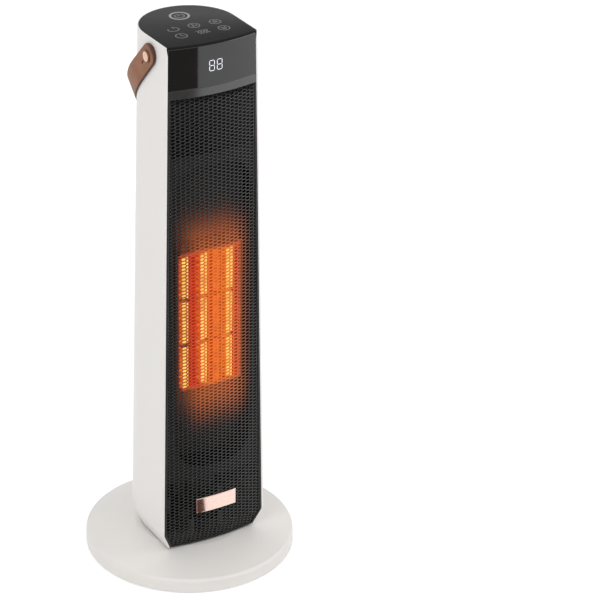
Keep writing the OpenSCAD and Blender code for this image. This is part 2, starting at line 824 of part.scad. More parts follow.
module top_frame() color(black) difference() {
    union() {
        difference() {
            tower_block(tub_z, top_z - touch, wall + touch, frame_d + fit);
            tower_block(tub_z + tub_wall, total_h, wall + touch + tub_wall, frame_d + fit + tub_wall);
        }
        for (s = [-1, 1]) translate([s * (half_w(stud_z) - wall - tub_wall - 2), -stud_front, stud_z])
            rotate([0, 90, 0]) cylinder(r = stud_r + 3, h = 6, center = true, $fn = small_fn);
        for (q = touch_posts) span([q[0] - post_half, q[1] - post_half, tub_z + past],
            [q[0] + post_half, q[1] + post_half, touch_z - touch / 2]);
        intersection() {
            at_casing_screws(seat_t + touch + lug_y) cylinder(r = tub_boss_r, h = lug_y, $fn = small_fn);
            tower_block(tub_z, top_z - touch, wall + touch, frame_d + fit);
        }
        for (s = [-1, 1]) span([s * led_post_x - 2, -corner_y(lamp_z) + 1, lamp_z - post_half],
            [s * led_post_x + 2, led_back - touch / 2, lamp_z + post_half]);
    }
    for (s = [-1, 1])
        bar_y(s * screw_x[1], screw_seat(1) - seat_t - touch, screw_z[1], seat_r + fit, base_r);
    for (s = [-1, 1]) translate([s * half_w(stud_z), -stud_front, stud_z]) rotate([0, 90, 0])
        cylinder(r = stud_r - 1 + run, h = 30, center = true, $fn = small_fn);
    span([-lamp_w / 2 - 1, -base_r, lamp_z - lamp_h / 2 - 1],
        [lamp_w / 2 + 1, led_back + 1, lamp_z + lamp_h / 2 + 1]);
    bar_y(receiver_x, -base_r, lamp_z, receiver_r + fit, base_r);
    for (s = [-1, 1]) bar_y(s * screw_x[1], 0, screw_z[1], boss_hole_r, base_r);
    translate([0, 20, tub_z - past]) cylinder(r = 6, h = tub_wall + 2 * past, $fn = small_fn);
}

pad_h = 0.5;
touch_t = 1.6;
touch_z = top_z - pad_h - touch_t - touch;

module touch_board() {
    color(board)
        tower_block(touch_z, touch_z + touch_t, wall + tub_wall + fit + touch, frame_d + tub_wall + 3);
    color(metal) {
        for (x = [-1 : 1], y = icon_y) translate([x * icon_x, y, touch_z + touch_t])
            cylinder(r = 5, h = pad_h, $fn = small_fn);
        translate([0, power_y, touch_z + touch_t]) cylinder(r = 9, h = pad_h, $fn = small_fn);
    }
}

module led_display() {
    color(glossy) span([-lamp_w / 2, lamp_y, lamp_z - lamp_h / 2],
        [lamp_w / 2, led_back, lamp_z + lamp_h / 2]);
    color(board) span([-led_w / 2, led_back, lamp_z - led_h / 2],
        [led_w / 2, led_back + touch_t, lamp_z + led_h / 2]);
    color(dark) bar_y(receiver_x, led_back - 5, lamp_z, receiver_r, 5);
}

// Outlet and heater

// Oval of the outlet in X and Z, grown by a margin
module outlet_outline(grow) {
    w = outlet_w / 2 + grow;
    h = outlet_h / 2 + grow;
    r = outlet_r + grow;
    translate([0, outlet_z]) union() {
        translate([-w, -h + r]) square([2 * w, 2 * (h - r)]);
        translate([-w + r, -h]) square([2 * (w - r), 2 * h]);
        for (x = [-1, 1], z = [-1, 1]) translate([x * (w - r), z * (h - r)]) circle(r = r, $fn = 64);
    }
}

// Rectangle about the middle of the heater in X and Z
module heater_outline(w, h) {
    translate([-w / 2, heater_z - h / 2]) square([w, h]);
}

module outlet_duct() color(black) difference() {
    union() {
        front_slab(outlet_z - outlet_h / 2 - duct_over, outlet_z + outlet_h / 2 + duct_over,
            flange_side, flange_in, flange_in + flange_t);
        intersection() {
            tower_block(foot_z, total_h, flange_side, flange_in);
            through_front(-base_r, duct_back + duct_wall) outlet_outline(duct_wall);
        }
    }
    through_front(-base_r, duct_back) outlet_outline(0);
    through_front(-base_r, base_r) heater_outline(heater_w - 2, heater_h - 2);
}

module heater_frame() color(dark) difference() {
    union() {
        through_front(heater_y, heater_end)
            heater_outline(heater_w + 2 * heater_rim, heater_h + 2 * heater_rim);
        through_front(heater_end - 2, heater_end)
            heater_outline(heater_w + 2 * heater_rim, heater_h + 6 * heater_rim);
    }
    through_front(heater_y - past, heater_end + past) heater_outline(heater_w, heater_h);
    for (x = [-1, 1], z = [-1, 1])
        bar_y(x * heater_w / 3, heater_y, heater_z + z * (heater_h / 2 + 2 * heater_rim),
            1.8, 2 * heater_d);
    terminal_tabs(touch);
}

part_h = (heater_h - (ptc_parts - 1) * ptc_gap) / ptc_parts;

// Ceramic blocks in columns, each column in stacked parts on one carrier bar
module ptc_columns() color(ceramic) for (x = ptc_x) {
    for (k = [0 : ptc_parts - 1]) {
        z = heater_z - heater_h / 2 + k * (part_h + ptc_gap);
        span([x - ptc_w / 2, heater_y + 1, z], [x + ptc_w / 2, heater_y + 1 + ptc_d, z + part_h]);
    }
    span([x - ptc_w / 4, heater_y + 3, heater_z - heater_h / 2 + past],
        [x + ptc_w / 4, heater_y + ptc_d - 1, heater_z + heater_h / 2 - past]);
}

// Zigzag strip that fills the width between two columns
module fin_outline(low, high) {
    turn = heater_h / (2 * fin_turns);
    left = [for (i = [0 : 2 * fin_turns])
        [i % 2 == 0 ? low : high - fin_t, heater_z - heater_h / 2 + i * turn]];
    polygon(concat(left, [for (i = [2 * fin_turns : -1 : 0]) [left[i][0] + fin_t, left[i][1]]]));
}

module heater_fins() color(metal) {
    for (c = [0 : len(ptc_x)]) {
        low = c == 0 ? -heater_w / 2 : ptc_x[c - 1] + ptc_w / 2;
        high = c == len(ptc_x) ? heater_w / 2 : ptc_x[c] - ptc_w / 2;
        through_front(heater_y + 2, heater_y + 2 + fin_d) fin_outline(low, high);
    }
}

// One tab rises from each column through the frame's top bar
module terminal_tabs(grow) {
    z = heater_z + heater_h / 2;
    for (x = ptc_x) span([x - tab_w / 2 - grow, heater_y + tab_y - tab_t / 2 - grow, z],
        [x + tab_w / 2 + grow, heater_y + tab_y + tab_t / 2 + grow, z + tab_h]);
}

module heater_terminals() color(copper) terminal_tabs(0);

module thermal_cutout() color(steel) {
    z = heater_z - heater_h / 2 - heater_rim - cutout_r - 1;
    bar_y(0, heater_end - 8 - touch, z, cutout_r, 6);
    for (s = [-1, 1]) span([s * 4 - 1, heater_end - 11, z - 3], [s * 4 + 1, heater_end - 8, z + 3]);
    span([-cutout_r - 4, heater_end - 3 - touch, z - 2], [cutout_r + 4, heater_end - 2 - touch, z + 2]);
}

// Blower

// Wall that guides the air round the wheel and out to the front, seen from above
guide_n = 14;
guide_from = 100;
guide_to = 205;
guide_near = 3;
guide_far = house_w / cos(guide_to - 180) - wheel_r;
function guide(i, grow) =
    let (a = lerp(guide_from, guide_to, i / guide_n),
         r = wheel_r + lerp(guide_near, guide_far, i / guide_n) + grow)
    [r * cos(a), wheel_y + r * sin(a)];

module guide_outline() {
    polygon(concat(
        [for (i = [0 : guide_n]) guide(i, 0)],
        [[-house_w, house_back], [-house_w - house_t, house_back]],
        [for (i = [guide_n : -1 : 0]) guide(i, house_t)]
    ));
}

// Lip that keeps the air from turning back, on the other side of the wheel
lip_a = -28;
lip_gap = 2.5;
module lip_outline() {
    near = wheel_r + lip_gap;
    polygon([
        [house_w, house_back], [house_w, -12 + wheel_y], [near * cos(lip_a), wheel_y + near * sin(lip_a)],
        [near * cos(lip_a + 14), wheel_y + near * sin(lip_a + 14)],
        [(near + house_t) * cos(lip_a + 14), wheel_y + (near + house_t) * sin(lip_a + 14)],
        [house_w + house_t, -10 + wheel_y], [house_w + house_t, house_back]
    ]);
}

module house_end() {
    union() {
        translate([-house_w - house_t, house_back]) square([2 * (house_w + house_t), wheel_y - house_back]);
        difference() {
            translate([0, wheel_y]) circle(r = house_w + house_t - 1, $fn = round_fn);
            translate([-base_r, house_back - base_r]) square([2 * base_r, base_r]);
        }
    }
}

ear_w = 6;
ear_low = 8;
ear_high = 10;

module fan_housing() color(black) difference() {
    union() {
        translate([0, 0, end_z]) linear_extrude(height = end_top - end_z + end_t) {
            guide_outline();
            lip_outline();
        }
        for (z = [end_z, end_top]) translate([0, 0, z]) linear_extrude(height = end_t) house_end();
        for (s = [-1, 1]) span([s * (house_w + 2) - ear_w / 2, house_back, end_z - ear_low],
            [s * (house_w + 2) + ear_w / 2, house_back + 2, end_top + ear_high]);
    }
    translate([0, wheel_y, end_z - past]) cylinder(r = hub_r + 2, h = end_t + 2 * past, $fn = small_fn);
    translate([0, wheel_y, end_top - past])
        cylinder(r = bearing_r + run, h = end_t + 2 * past, $fn = small_fn);
}

module fan_bearing() color(nylon) difference() {
    translate([0, wheel_y, end_top - 1]) union() {
        cylinder(r = bearing_r, h = end_t + 3, $fn = small_fn);
        translate([0, 0, end_t + 1 + touch])
            cylinder(r = bearing_r + 3, h = 2 - touch, $fn = small_fn);
    }
    translate([0, wheel_y, end_top - 2 * past]) cylinder(r = axle_r + run, h = end_t + 6, $fn = small_fn);
}

// One curved blade, thicker in its middle, from the inner to the outer edge of the wheel
blade_t = 0.9;
blade_bow = 1.1;
blade_lean = 24;
module blade_outline() {
    inner = wheel_r - blade_d;
    translate([inner, 0]) rotate([0, 0, blade_lean]) polygon([
        [0, 0], [blade_d / 2, blade_bow], [blade_d, 0], [blade_d, blade_t],
        [blade_d / 2, blade_bow + blade_t], [0, blade_t]
    ]);
}

module fan_wheel() color(dark) translate([0, wheel_y, 0]) difference() {
    union() {
        translate([0, 0, wheel_z]) linear_extrude(height = wheel_l) around(blade_n) blade_outline();
        for (k = [0 : disc_n]) translate([0, 0, wheel_z + k * (wheel_l - disc_t) / disc_n])
            difference() {
                cylinder(r = wheel_r, h = disc_t, $fn = round_fn);
                if (k > 0 && k < disc_n) translate([0, 0, -past])
                    cylinder(r = wheel_r - blade_d - 1, h = disc_t + 2 * past, $fn = round_fn);
            }
        for (z = [wheel_z, wheel_top - hub_l]) translate([0, 0, z])
            cylinder(r = hub_r, h = hub_l, $fn = small_fn);
    }
    translate([0, 0, wheel_z - past]) cylinder(r = shaft_r + run, h = hub_l + past - 1, $fn = small_fn);
    translate([0, 0, wheel_top - hub_l + 1]) cylinder(r = axle_r + run, h = hub_l + past, $fn = small_fn);
}

module fan_shaft() color(steel) translate([0, wheel_y, motor_z + 6])
    cylinder(r = shaft_r, h = wheel_z + hub_l - 1 - touch - motor_z - 6, $fn = small_fn);

module fan_axle() color(steel) translate([0, wheel_y, wheel_top - hub_l + 1 + touch])
    cylinder(r = axle_r, h = hub_l + end_gap + end_t + 1, $fn = small_fn);

motor_z = end_z - motor_h;

module fan_motor() color(steel) translate([0, wheel_y, 0]) difference() {
    union() {
        translate([0, 0, motor_z]) cylinder(r = motor_r, h = motor_h - 6, $fn = round_fn);
        translate([0, 0, motor_z + motor_h - 6 - past])
            cylinder(r = motor_r - 8, h = 4 + past, $fn = round_fn);
        around(4, 45) translate([motor_r - 3, 0, motor_z + motor_h - 6 - past])
            cylinder(r = 2.5, h = 6 + past, $fn = small_fn);
    }
    translate([0, 0, motor_z + 4]) cylinder(r = shaft_r + run, h = motor_h, $fn = small_fn);
}

// Rear intake, switch and sensor

module intake_grille() color(white) difference() {
    intersection() {
        back_slab(intake_z - intake_h / 2 + fit, intake_z + intake_h / 2 - fit,
            grille_in, grille_in + grille_t);
        through_front(0, base_r) translate([-intake_w / 2 + fit, 0])
            square([intake_w - 2 * fit, total_h]);
    }
    bay = (intake_w - (intake_bays + 1) * intake_bar) / intake_bays;
    rows = floor((intake_h - 2 * intake_bar) / slot_pitch);
    first = intake_z - (rows - 1) * slot_pitch / 2 - slot_h / 2;
    through_front(0, base_r) for (k = [0 : rows - 1], b = [0 : intake_bays - 1])
        translate([-intake_w / 2 + intake_bar + b * (bay + intake_bar), first + k * slot_pitch])
            square([bay, slot_h]);
}

filter_over = 3;

module intake_filter() color(grey) intersection() {
    back_slab(intake_z - intake_h / 2 - filter_over, intake_z + intake_h / 2 + filter_over,
        wall + touch, wall + touch + filter_t);
    through_front(0, base_r) translate([-intake_w / 2 - filter_over, 0])
        square([intake_w + 2 * filter_over, total_h]);
}

sensor_z = intake_z - intake_h / 2 + 10;

module temperature_sensor() color(black) {
    y = back_reach(sensor_z) - wall - filter_t - 2 * touch;
    span([-5, y - 5, sensor_z - 7], [5, y - fit, sensor_z + 7]);
    bar_y(0, y - 9, sensor_z, 2, 5);
}

switch_back = back_reach(switch_z - switch_h / 2);
switch_bezel = 1.4;
switch_rim = 1.5;
switch_deep = 14;
rocker_w = switch_w - 6;
rocker_h = switch_h - 5;
rocker_y = switch_back - 3;

module switch_body() color(black) difference() {
    union() {
        span([-switch_w / 2, switch_back, switch_z - switch_h / 2],
            [switch_w / 2, switch_back + switch_bezel, switch_z + switch_h / 2]);
        span([-switch_w / 2 + switch_rim + touch, switch_back - switch_deep,
                switch_z - switch_h / 2 + switch_rim + touch],
            [switch_w / 2 - switch_rim - touch, switch_back, switch_z + switch_h / 2 - switch_rim - touch]);
        for (s = [-1, 0, 1]) span([-2, switch_back - switch_deep - 6, switch_z + s * 4 - 0.4],
            [2, switch_back - switch_deep, switch_z + s * 4 + 0.4]);
    }
    span([-rocker_w / 2 - fit, switch_back - 9, switch_z - rocker_h / 2 - fit],
        [rocker_w / 2 + fit, switch_back + 3, switch_z + rocker_h / 2 + fit]);
    translate([-rocker_w / 2 - 1.5, rocker_y, switch_z]) rotate([0, 90, 0])
        cylinder(r = 1.2 + run, h = rocker_w + 3, $fn = small_fn);
}

// Rocker with its two faces at an angle, resting with its lower half pressed in
module power_rocker() color(dark) translate([0, rocker_y, switch_z]) rotate([-switch_tilt, 0, 0]) {
    difference() {
        intersection() {
            span([-rocker_w / 2, -5, -rocker_h / 2], [rocker_w / 2, 6, rocker_h / 2]);
            rotate([0, 90, 0]) cylinder(r = rocker_h / 2 + 0.2, h = rocker_w, center = true, $fn = 64);
        }
        translate([0, rocker_h / 2 + 11.2, 0]) rotate([0, 90, 0])
            cylinder(r = 12, h = rocker_w + 2 * past, center = true, $fn = 64);
        span([-rocker_w, -8, -rocker_h], [rocker_w, -2.5, rocker_h]);
    }
    rotate([0, 90, 0]) cylinder(r = 1.2, h = rocker_w + 2, center = true, $fn = small_fn);
}

// Strap

// Right half of the strap's centre line in its own plane: distance from the middle, distance from the studs
half_line = concat(
    [[strap_x, -strap_w]],
    [for (i = [0 : bend_n]) let (a = 90 * i / bend_n)
        [strap_x * cos(a), strap_arm + (strap_reach - strap_arm) * pow(sin(a), strap_square)]]
);
strap_line = concat(half_line, [for (i = [len(half_line) - 2 : -1 : 0])
    [-half_line[i][0], half_line[i][1]]]);
function unit(v) = v / norm(v);
// The centre line moved sideways by a distance
function strap_side_line(d) = [
    for (i = [0 : len(strap_line) - 1])
        let (v = unit(strap_line[min(i + 1, len(strap_line) - 1)] - strap_line[max(i - 1, 0)]))
        strap_line[i] + d * [v[1], -v[0]]
];

// Turns the strap's own plane into place, hanging back and down from the studs
module at_studs() {
    translate([0, -stud_front, stud_z]) rotate([-strap_deg, 0, 0]) children();
}

// The band's lower inner edge is shaved where it lies on the casing
module strap_handle() color(leather) difference() {
    inner = strap_side_line(-strap_t / 2);
    outer = strap_side_line(strap_t / 2);
    at_studs() difference() {
        intersection() {
            linear_extrude(height = strap_w, center = true)
                polygon(concat(outer, [for (i = [len(inner) - 1 : -1 : 0]) inner[i]]));
            union() {
                translate([0, -strap_past, 0]) rotate([0, 90, 0])
                    cylinder(r = strap_w / 2, h = 4 * strap_x, center = true, $fn = 64);
                span([-2 * strap_x, -strap_past, -strap_w / 2],
                    [2 * strap_x, strap_reach + strap_t, strap_w / 2]);
            }
        }
        rotate([0, 90, 0]) cylinder(r = strap_hole_r, h = 4 * strap_x, center = true, $fn = small_fn);
        translate([0, strap_slit, 0]) rotate([0, 90, 0])
            cylinder(r = slit_end_r, h = 4 * strap_x, center = true, $fn = small_fn);
        span([-2 * strap_x, 0, -slit_w / 2], [2 * strap_x, strap_slit, slit_w / 2]);
    }
    tower_block(display_z - strap_reach, total_h - touch, -fit, -fit);
}

stud_cap_r = 7;
stud_cap_t = 2;

module strap_studs() color(copper) for (s = [-1, 1])
    translate([0, -stud_front, stud_z]) mirror([s < 0 ? 1 : 0, 0, 0]) rotate([0, 90, 0]) {
        x = half_w(stud_z - stud_base_r);
        cap_x = strap_x + strap_t / 2 + fit;
        translate([0, 0, x]) cylinder(r = stud_base_r, h = stud_gap - fit, $fn = small_fn);
        translate([0, 0, x]) cylinder(r = stud_r, h = cap_x - x + stud_cap_t / 2, $fn = small_fn);
        translate([0, 0, x - wall - tub_wall - 4])
            cylinder(r = stud_r - 1, h = wall + tub_wall + 5, $fn = small_fn);
        translate([0, 0, cap_x]) intersection() {
            cylinder(r = stud_cap_r, h = stud_cap_t, $fn = small_fn);
            translate([0, 0, stud_cap_t - 2 * stud_cap_r]) sphere(r = 2 * stud_cap_r, $fn = 64);
        }
    }

base_cover();
base_plate();
base_weight();
base_feet();
base_screws();
cord_gland();
pivot_post();
glide_ring();
swing_gear();
post_clip();
tower_foot();
rear_shell();
front_frame();
grille_mesh();
nameplate();
display_panel();
top_panel();
top_frame();
touch_board();
led_display();
outlet_duct();
heater_frame();
ptc_columns();
heater_fins();
heater_terminals();
thermal_cutout();
fan_housing();
fan_motor();
fan_bearing();
fan_wheel();
fan_shaft();
fan_axle();
power_board();
tilt_switch();
temperature_sensor();
swing_motor();
swing_pinion();
intake_grille();
intake_filter();
switch_body();
power_rocker();
strap_studs();
strap_handle();
casing_screws();
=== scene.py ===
"""Looks of the ceramic tower heater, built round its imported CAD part."""
import math

import bmesh
import bpy
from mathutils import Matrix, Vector


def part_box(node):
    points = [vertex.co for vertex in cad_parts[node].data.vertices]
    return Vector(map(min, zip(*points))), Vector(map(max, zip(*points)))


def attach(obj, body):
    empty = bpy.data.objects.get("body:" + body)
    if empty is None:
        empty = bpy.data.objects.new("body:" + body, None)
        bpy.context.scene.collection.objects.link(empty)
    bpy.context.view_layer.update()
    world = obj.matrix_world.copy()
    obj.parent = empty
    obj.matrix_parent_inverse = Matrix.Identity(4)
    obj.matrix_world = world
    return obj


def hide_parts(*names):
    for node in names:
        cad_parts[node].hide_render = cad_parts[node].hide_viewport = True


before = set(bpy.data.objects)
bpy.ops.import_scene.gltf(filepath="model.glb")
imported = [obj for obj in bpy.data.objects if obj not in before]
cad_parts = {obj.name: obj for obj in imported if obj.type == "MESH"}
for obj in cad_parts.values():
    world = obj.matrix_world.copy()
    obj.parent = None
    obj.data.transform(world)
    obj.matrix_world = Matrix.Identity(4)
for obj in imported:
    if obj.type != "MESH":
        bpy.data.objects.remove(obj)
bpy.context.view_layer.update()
MM = 0.001


def box_mm(name):
    """Lowest and highest corner of a CAD node, in millimetres."""
    low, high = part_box(name)
    return low / MM, high / MM


# The tower's shape in millimetres, as in the CAD part. Only the black front's foot slants higher up here.
FOOT_Z, TOP_Z = (corner.z for corner in box_mm("rear_shell"))
FOOT_HALF, TOP_HALF = 64.75, 53.5
FOOT_FRONT, TOP_FRONT = 55.5, 47.5
BULGE, ROUND_Y = 7.6, 0.75
BEVEL_H, BEVEL_IN, FRONT_BEVEL_IN = 19.5, 9.5, 6.5
WALL, GAP, RIM_W = 2.25, 0.1, 1.0
PANEL_Z = box_mm("top_panel")[0].z
DISPLAY_Z = box_mm("display_panel")[0].z
BAND_Z = DISPLAY_Z - 9.5
BAND_MIDDLE_Z = 572.0
DISPLAY_T, DISPLAY_ROWS = 3.0, (590.0, 605.0)
FRAME_GAP, FRAME_SIDE, FRAME_D, FRAME_SKIN = 0.3, 2.2, 5.0, 0.3
WINDOW_LOW = FOOT_Z + 1.6
MESH_DEPTH, MESH_T = 1.2, 1.2


def mix(a, b, t):
    """Value between a and b at a share of the way."""
    return a + (b - a) * t


def rise(z):
    """How far up the tower a height is, from 0 at the foot to 1 at the top."""
    return (z - FOOT_Z) / (TOP_Z - FOOT_Z)


def half_w(z):
    """Half width of the tower at a height, above its slanted foot."""
    return mix(FOOT_HALF, TOP_HALF, rise(z))


def bulge_r(z):
    """Radius of the bulged front at a height."""
    return (half_w(z) ** 2 + BULGE ** 2) / (2 * BULGE)


def draw_in(z):
    """How far the slanted foot draws in at a height, from 0 to 1."""
    return max(0.0, 1 - (z - FOOT_Z) / BEVEL_H)


def front_y(x, z, depth=0.0):
    """Y of the bulged front at X and Z, a depth below its outer skin."""
    r = bulge_r(z) - depth - FRONT_BEVEL_IN * draw_in(z)
    centre = bulge_r(z) - mix(FOOT_FRONT, TOP_FRONT, rise(z)) - BULGE
    return centre - math.sqrt(r * r - x * x)


def side_x(z, inset=0.0):
    """Half width of the tower at a height, moved in by an inset."""
    return half_w(z) - inset - BEVEL_IN * draw_in(z)


def back_y(x, z):
    """Y of the round back at X and Z."""
    return ROUND_Y + math.sqrt(half_w(z) ** 2 - x * x)


# Mesh helpers

SMOOTH = 35.0


def shade(obj, angle=SMOOTH):
    """Smooth shading with sharp edges above an angle."""
    mesh = obj.data
    mesh.polygons.foreach_set("use_smooth", [True] * len(mesh.polygons))
    mesh.set_sharp_from_angle(angle=math.radians(angle))


def placed(name, data):
    """A new object in the scene."""
    obj = bpy.data.objects.new(name, data)
    bpy.context.scene.collection.objects.link(obj)
    return obj


def shape(name, builder, turn=True):
    """An object from a builder's points, in millimetres; turn makes all its faces look outward."""
    mesh = bpy.data.meshes.new(name)
    mesh.from_pydata([Vector(v) * MM for v in builder.v], [], builder.f)
    bm = bmesh.new()
    bm.from_mesh(mesh)
    bmesh.ops.remove_doubles(bm, verts=bm.verts, dist=1e-7)
    if turn:
        bmesh.ops.recalc_face_normals(bm, faces=bm.faces)
    bm.to_mesh(mesh)
    bm.free()
    return placed(name, mesh)


def piece(name, builder, body, material, nodes=(), smooth=SMOOTH, turn=True):
    """A piece of the heater, riding on a body."""
    obj = shape(name, builder, turn)
    shade(obj, smooth)
    obj.data.materials.append(material)
    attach(obj, body)
    if nodes:
        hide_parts(*nodes)
    return obj


def bevel(obj, width, segments=2, angle=50.0):
    """Softens the edges above an angle by a width in millimetres."""
    mod = obj.modifiers.new("edges", "BEVEL")
    mod.width = width * MM
    mod.segments = segments
    mod.limit_method = "ANGLE"
    mod.angle_limit = math.radians(angle)


def cut(obj, builder):
    """Cuts a builder's closed bodies out of an object for good."""
    tool = shape("cutter", builder)
    mod = obj.modifiers.new("cut", "BOOLEAN")
    mod.operation = "DIFFERENCE"
    mod.solver = "EXACT"
    mod.object = tool
    bpy.context.view_layer.update()
    final = obj.evaluated_get(bpy.context.evaluated_depsgraph_get())
    result = bpy.data.meshes.new_from_object(final)
    obj.modifiers.clear()
    obj.data = result
    bpy.data.objects.remove(tool)


class Builder:
    """Collects points and faces: rings, strips and grids of quads."""

    def __init__(self):
        self.v, self.f = [], []

    def add(self, points):
        """Adds points and gives their numbers."""
        start = len(self.v)
        self.v.extend(points)
        return list(range(start, start + len(points)))

    def strip(self, a, b, closed=False, skip=None):
        """Quads between two rows of points, but for the columns that skip names."""
        n = len(a)
        for i in range(n if closed else n - 1):
            if not (skip and skip(i)):
                j = (i + 1) % n
                self.f.append((a[i], a[j], b[j], b[i]))

    def rows(self, rows, closed=False, skip=None):
        """Quads through a grid of points, but for the rows and columns that skip names."""
        for k, (a, b) in enumerate(zip(rows, rows[1:])):
            self.strip(a, b, closed, skip and (lambda i: skip(k, i)))

    def shell(self, outer, inner, skip=None):
        """Closed shell between two grids of points, open at the rows and columns that skip names."""
        last = len(outer[0]) - 1
        self.rows(outer, skip=skip)
        self.rows([row[::-1] for row in inner], skip=skip and (lambda k, i: skip(k, last - 1 - i)))
        self.strip(outer[0], inner[0])
        self.strip(inner[-1], outer[-1])
        for i in (0, last):
            self.strip([row[i] for row in outer], [row[i] for row in inner])

    def opening(self, outer, inner, rows, columns):
        """Walls round an opening of a shell, between two of its rows and two of its columns."""
        for k in rows:
            self.strip(*(grid[k][columns[0]:columns[1] + 1] for grid in (outer, inner)))
        for i in columns:
            self.strip(*([row[i] for row in grid[rows[0]:rows[1] + 1]] for grid in (outer, inner)))

    def cap(self, ring):
        """One face over a ring of points."""
        self.f.append(tuple(ring))

    def ring_solid(self, rings):
        """Closed body through rings of equal length, capped at both ends."""
        self.rows(rings, closed=True)
        self.cap(rings[-1])
        self.cap(rings[0][::-1])


def arc(cx, cy, rx, ry, a0, a1, n=24):
    """Points of an elliptic arc, angles in degrees."""
    return [(cx + rx * math.cos(math.radians(mix(a0, a1, i / n))),
             cy + ry * math.sin(math.radians(mix(a0, a1, i / n)))) for i in range(n + 1)]


def circle(cx, cy, r, n):
    """A ring of points, without the first one again at its end."""
    return arc(cx, cy, r, r, 0, 360, n)[:-1]


# Material helpers, with the heights of their bumps in metres

GRAIN_HEIGHT, BRUSH_HEIGHT, LEATHER_HEIGHT = 0.0002, 0.0001, 0.0003


def base_material(name):
    mat = bpy.data.materials.new(name)
    mat.use_nodes = True
    nt = mat.node_tree
    return mat, nt, nt.nodes["Principled BSDF"]


def node(nt, kind, **values):
    """A new shader node, with values for its sockets or its settings."""
    n = nt.nodes.new(kind)
    for key, value in values.items():
        if key in n.inputs.keys():
            n.inputs[key].default_value = value
        else:
            setattr(n, key, value)
    return n


def math_node(nt, operation, a, b=0.0):
    """A math node on two values, each a socket or a number."""
    n = node(nt, "ShaderNodeMath", operation=operation)
    for socket, value in zip(n.inputs, (a, b)):
        if isinstance(value, (int, float)):
            socket.default_value = value
        else:
            nt.links.new(value, socket)
    return n.outputs[0]


def ramp(nt, fac, stops):
    """Colours along a factor, from stops of position and colour."""
    n = nt.nodes.new("ShaderNodeValToRGB")
    while len(n.color_ramp.elements) < len(stops):
        n.color_ramp.elements.new(0.5)
    for element, (place, colour) in zip(n.color_ramp.elements, stops):
        element.position = place
        element.color = (*colour, 1.0)
    nt.links.new(fac, n.inputs["Fac"])
    return n.outputs["Color"]


def mix_colour(nt, blend, a, b, factor=None):
    """Two colours blended, each a socket or a colour; wholly so where no factor is given."""
    n = nt.nodes.new("ShaderNodeMix")
    n.data_type = "RGBA"
    n.blend_type = blend
    n.inputs["Factor"].default_value = 1.0
    if factor:
        nt.links.new(factor, n.inputs["Factor"])
    for key, colour in ((6, a), (7, b)):
        if isinstance(colour, tuple):
            n.inputs[key].default_value = (*colour, 1.0)
        else:
            nt.links.new(colour, n.inputs[key])
    return n.outputs[2]


def spread(nt, value, low, high, to_low=0.0, to_high=1.0, ease="LINEAR"):
    """A value between low and high mapped to another range."""
    n = node(nt, "ShaderNodeMapRange", interpolation_type=ease)
    for key, number in (("From Min", low), ("From Max", high), ("To Min", to_low), ("To Max", to_high)):
        n.inputs[key].default_value = number
    nt.links.new(value, n.inputs["Value"])
    return n.outputs["Result"]


def axes(nt, vec):
    """The parts of a vector, as sockets named X, Y and Z."""
    n = nt.nodes.new("ShaderNodeSeparateXYZ")
    nt.links.new(vec, n.inputs["Vector"])
    return n.outputs


def coords(nt, scale=(1.0, 1.0, 1.0)):
    """Place on the object, in metres, with a scale for each axis."""
    tex = nt.nodes.new("ShaderNodeTexCoord")
    mapping = nt.nodes.new("ShaderNodeMapping")
    mapping.inputs["Scale"].default_value = scale
    nt.links.new(tex.outputs["Object"], mapping.inputs["Vector"])
    return mapping.outputs["Vector"]


def noise(nt, vec, scale, detail=3.0, rough=0.6):
    n = node(nt, "ShaderNodeTexNoise", Scale=scale, Detail=detail, Roughness=rough)
    nt.links.new(vec, n.inputs["Vector"])
    return n.outputs["Fac"]


def bumped(nt, bsdf, height, strength, distance):
    """Small relief from a height, with its strength and its full height in metres."""
    bump = node(nt, "ShaderNodeBump", Strength=strength, Distance=distance)
    nt.links.new(height, bump.inputs["Height"])
    nt.links.new(bump.outputs["Normal"], bsdf.inputs["Normal"])


def scaled(colour, k):
    """A colour made darker or brighter by a factor."""
    return tuple(min(1.0, c * k) for c in colour)


def moulded(name, colour, rough, depth, vary, grain=900.0, spec=0.5):
    """A moulded or painted surface: slow colour drift, fine surface grain and uneven gloss."""
    mat, nt, bsdf = base_material(name)
    vec = coords(nt)
    slow = noise(nt, vec, 14.0)
    tint = ramp(nt, slow, [(0.3, scaled(colour, 1 - vary)), (0.7, scaled(colour, 1 + vary * 0.6))])
    nt.links.new(tint, bsdf.inputs["Base Color"])
    uneven = spread(nt, slow, 0.0, 1.0, max(0.02, rough - 0.06), rough + 0.08)
    nt.links.new(uneven, bsdf.inputs["Roughness"])
    bumped(nt, bsdf, noise(nt, vec, grain, 2.0), depth, GRAIN_HEIGHT)
    bsdf.inputs["Specular IOR Level"].default_value = spec
    return mat


def brushed(name, colour, rough, stretch=(30.0, 30.0, 900.0), depth=0.08, dark=0.75):
    """Metal with fine drawn lines."""
    mat, nt, bsdf = base_material(name)
    lines = noise(nt, coords(nt, stretch), 1.0, 4.0)
    nt.links.new(ramp(nt, lines, [(0.3, scaled(colour, dark)), (0.7, colour)]), bsdf.inputs["Base Color"])
    uneven = spread(nt, lines, 0.0, 1.0, max(0.03, rough - 0.08), rough + 0.1)
    nt.links.new(uneven, bsdf.inputs["Roughness"])
    bumped(nt, bsdf, lines, depth, BRUSH_HEIGHT)
    bsdf.inputs["Metallic"].default_value = 1.0
    return mat


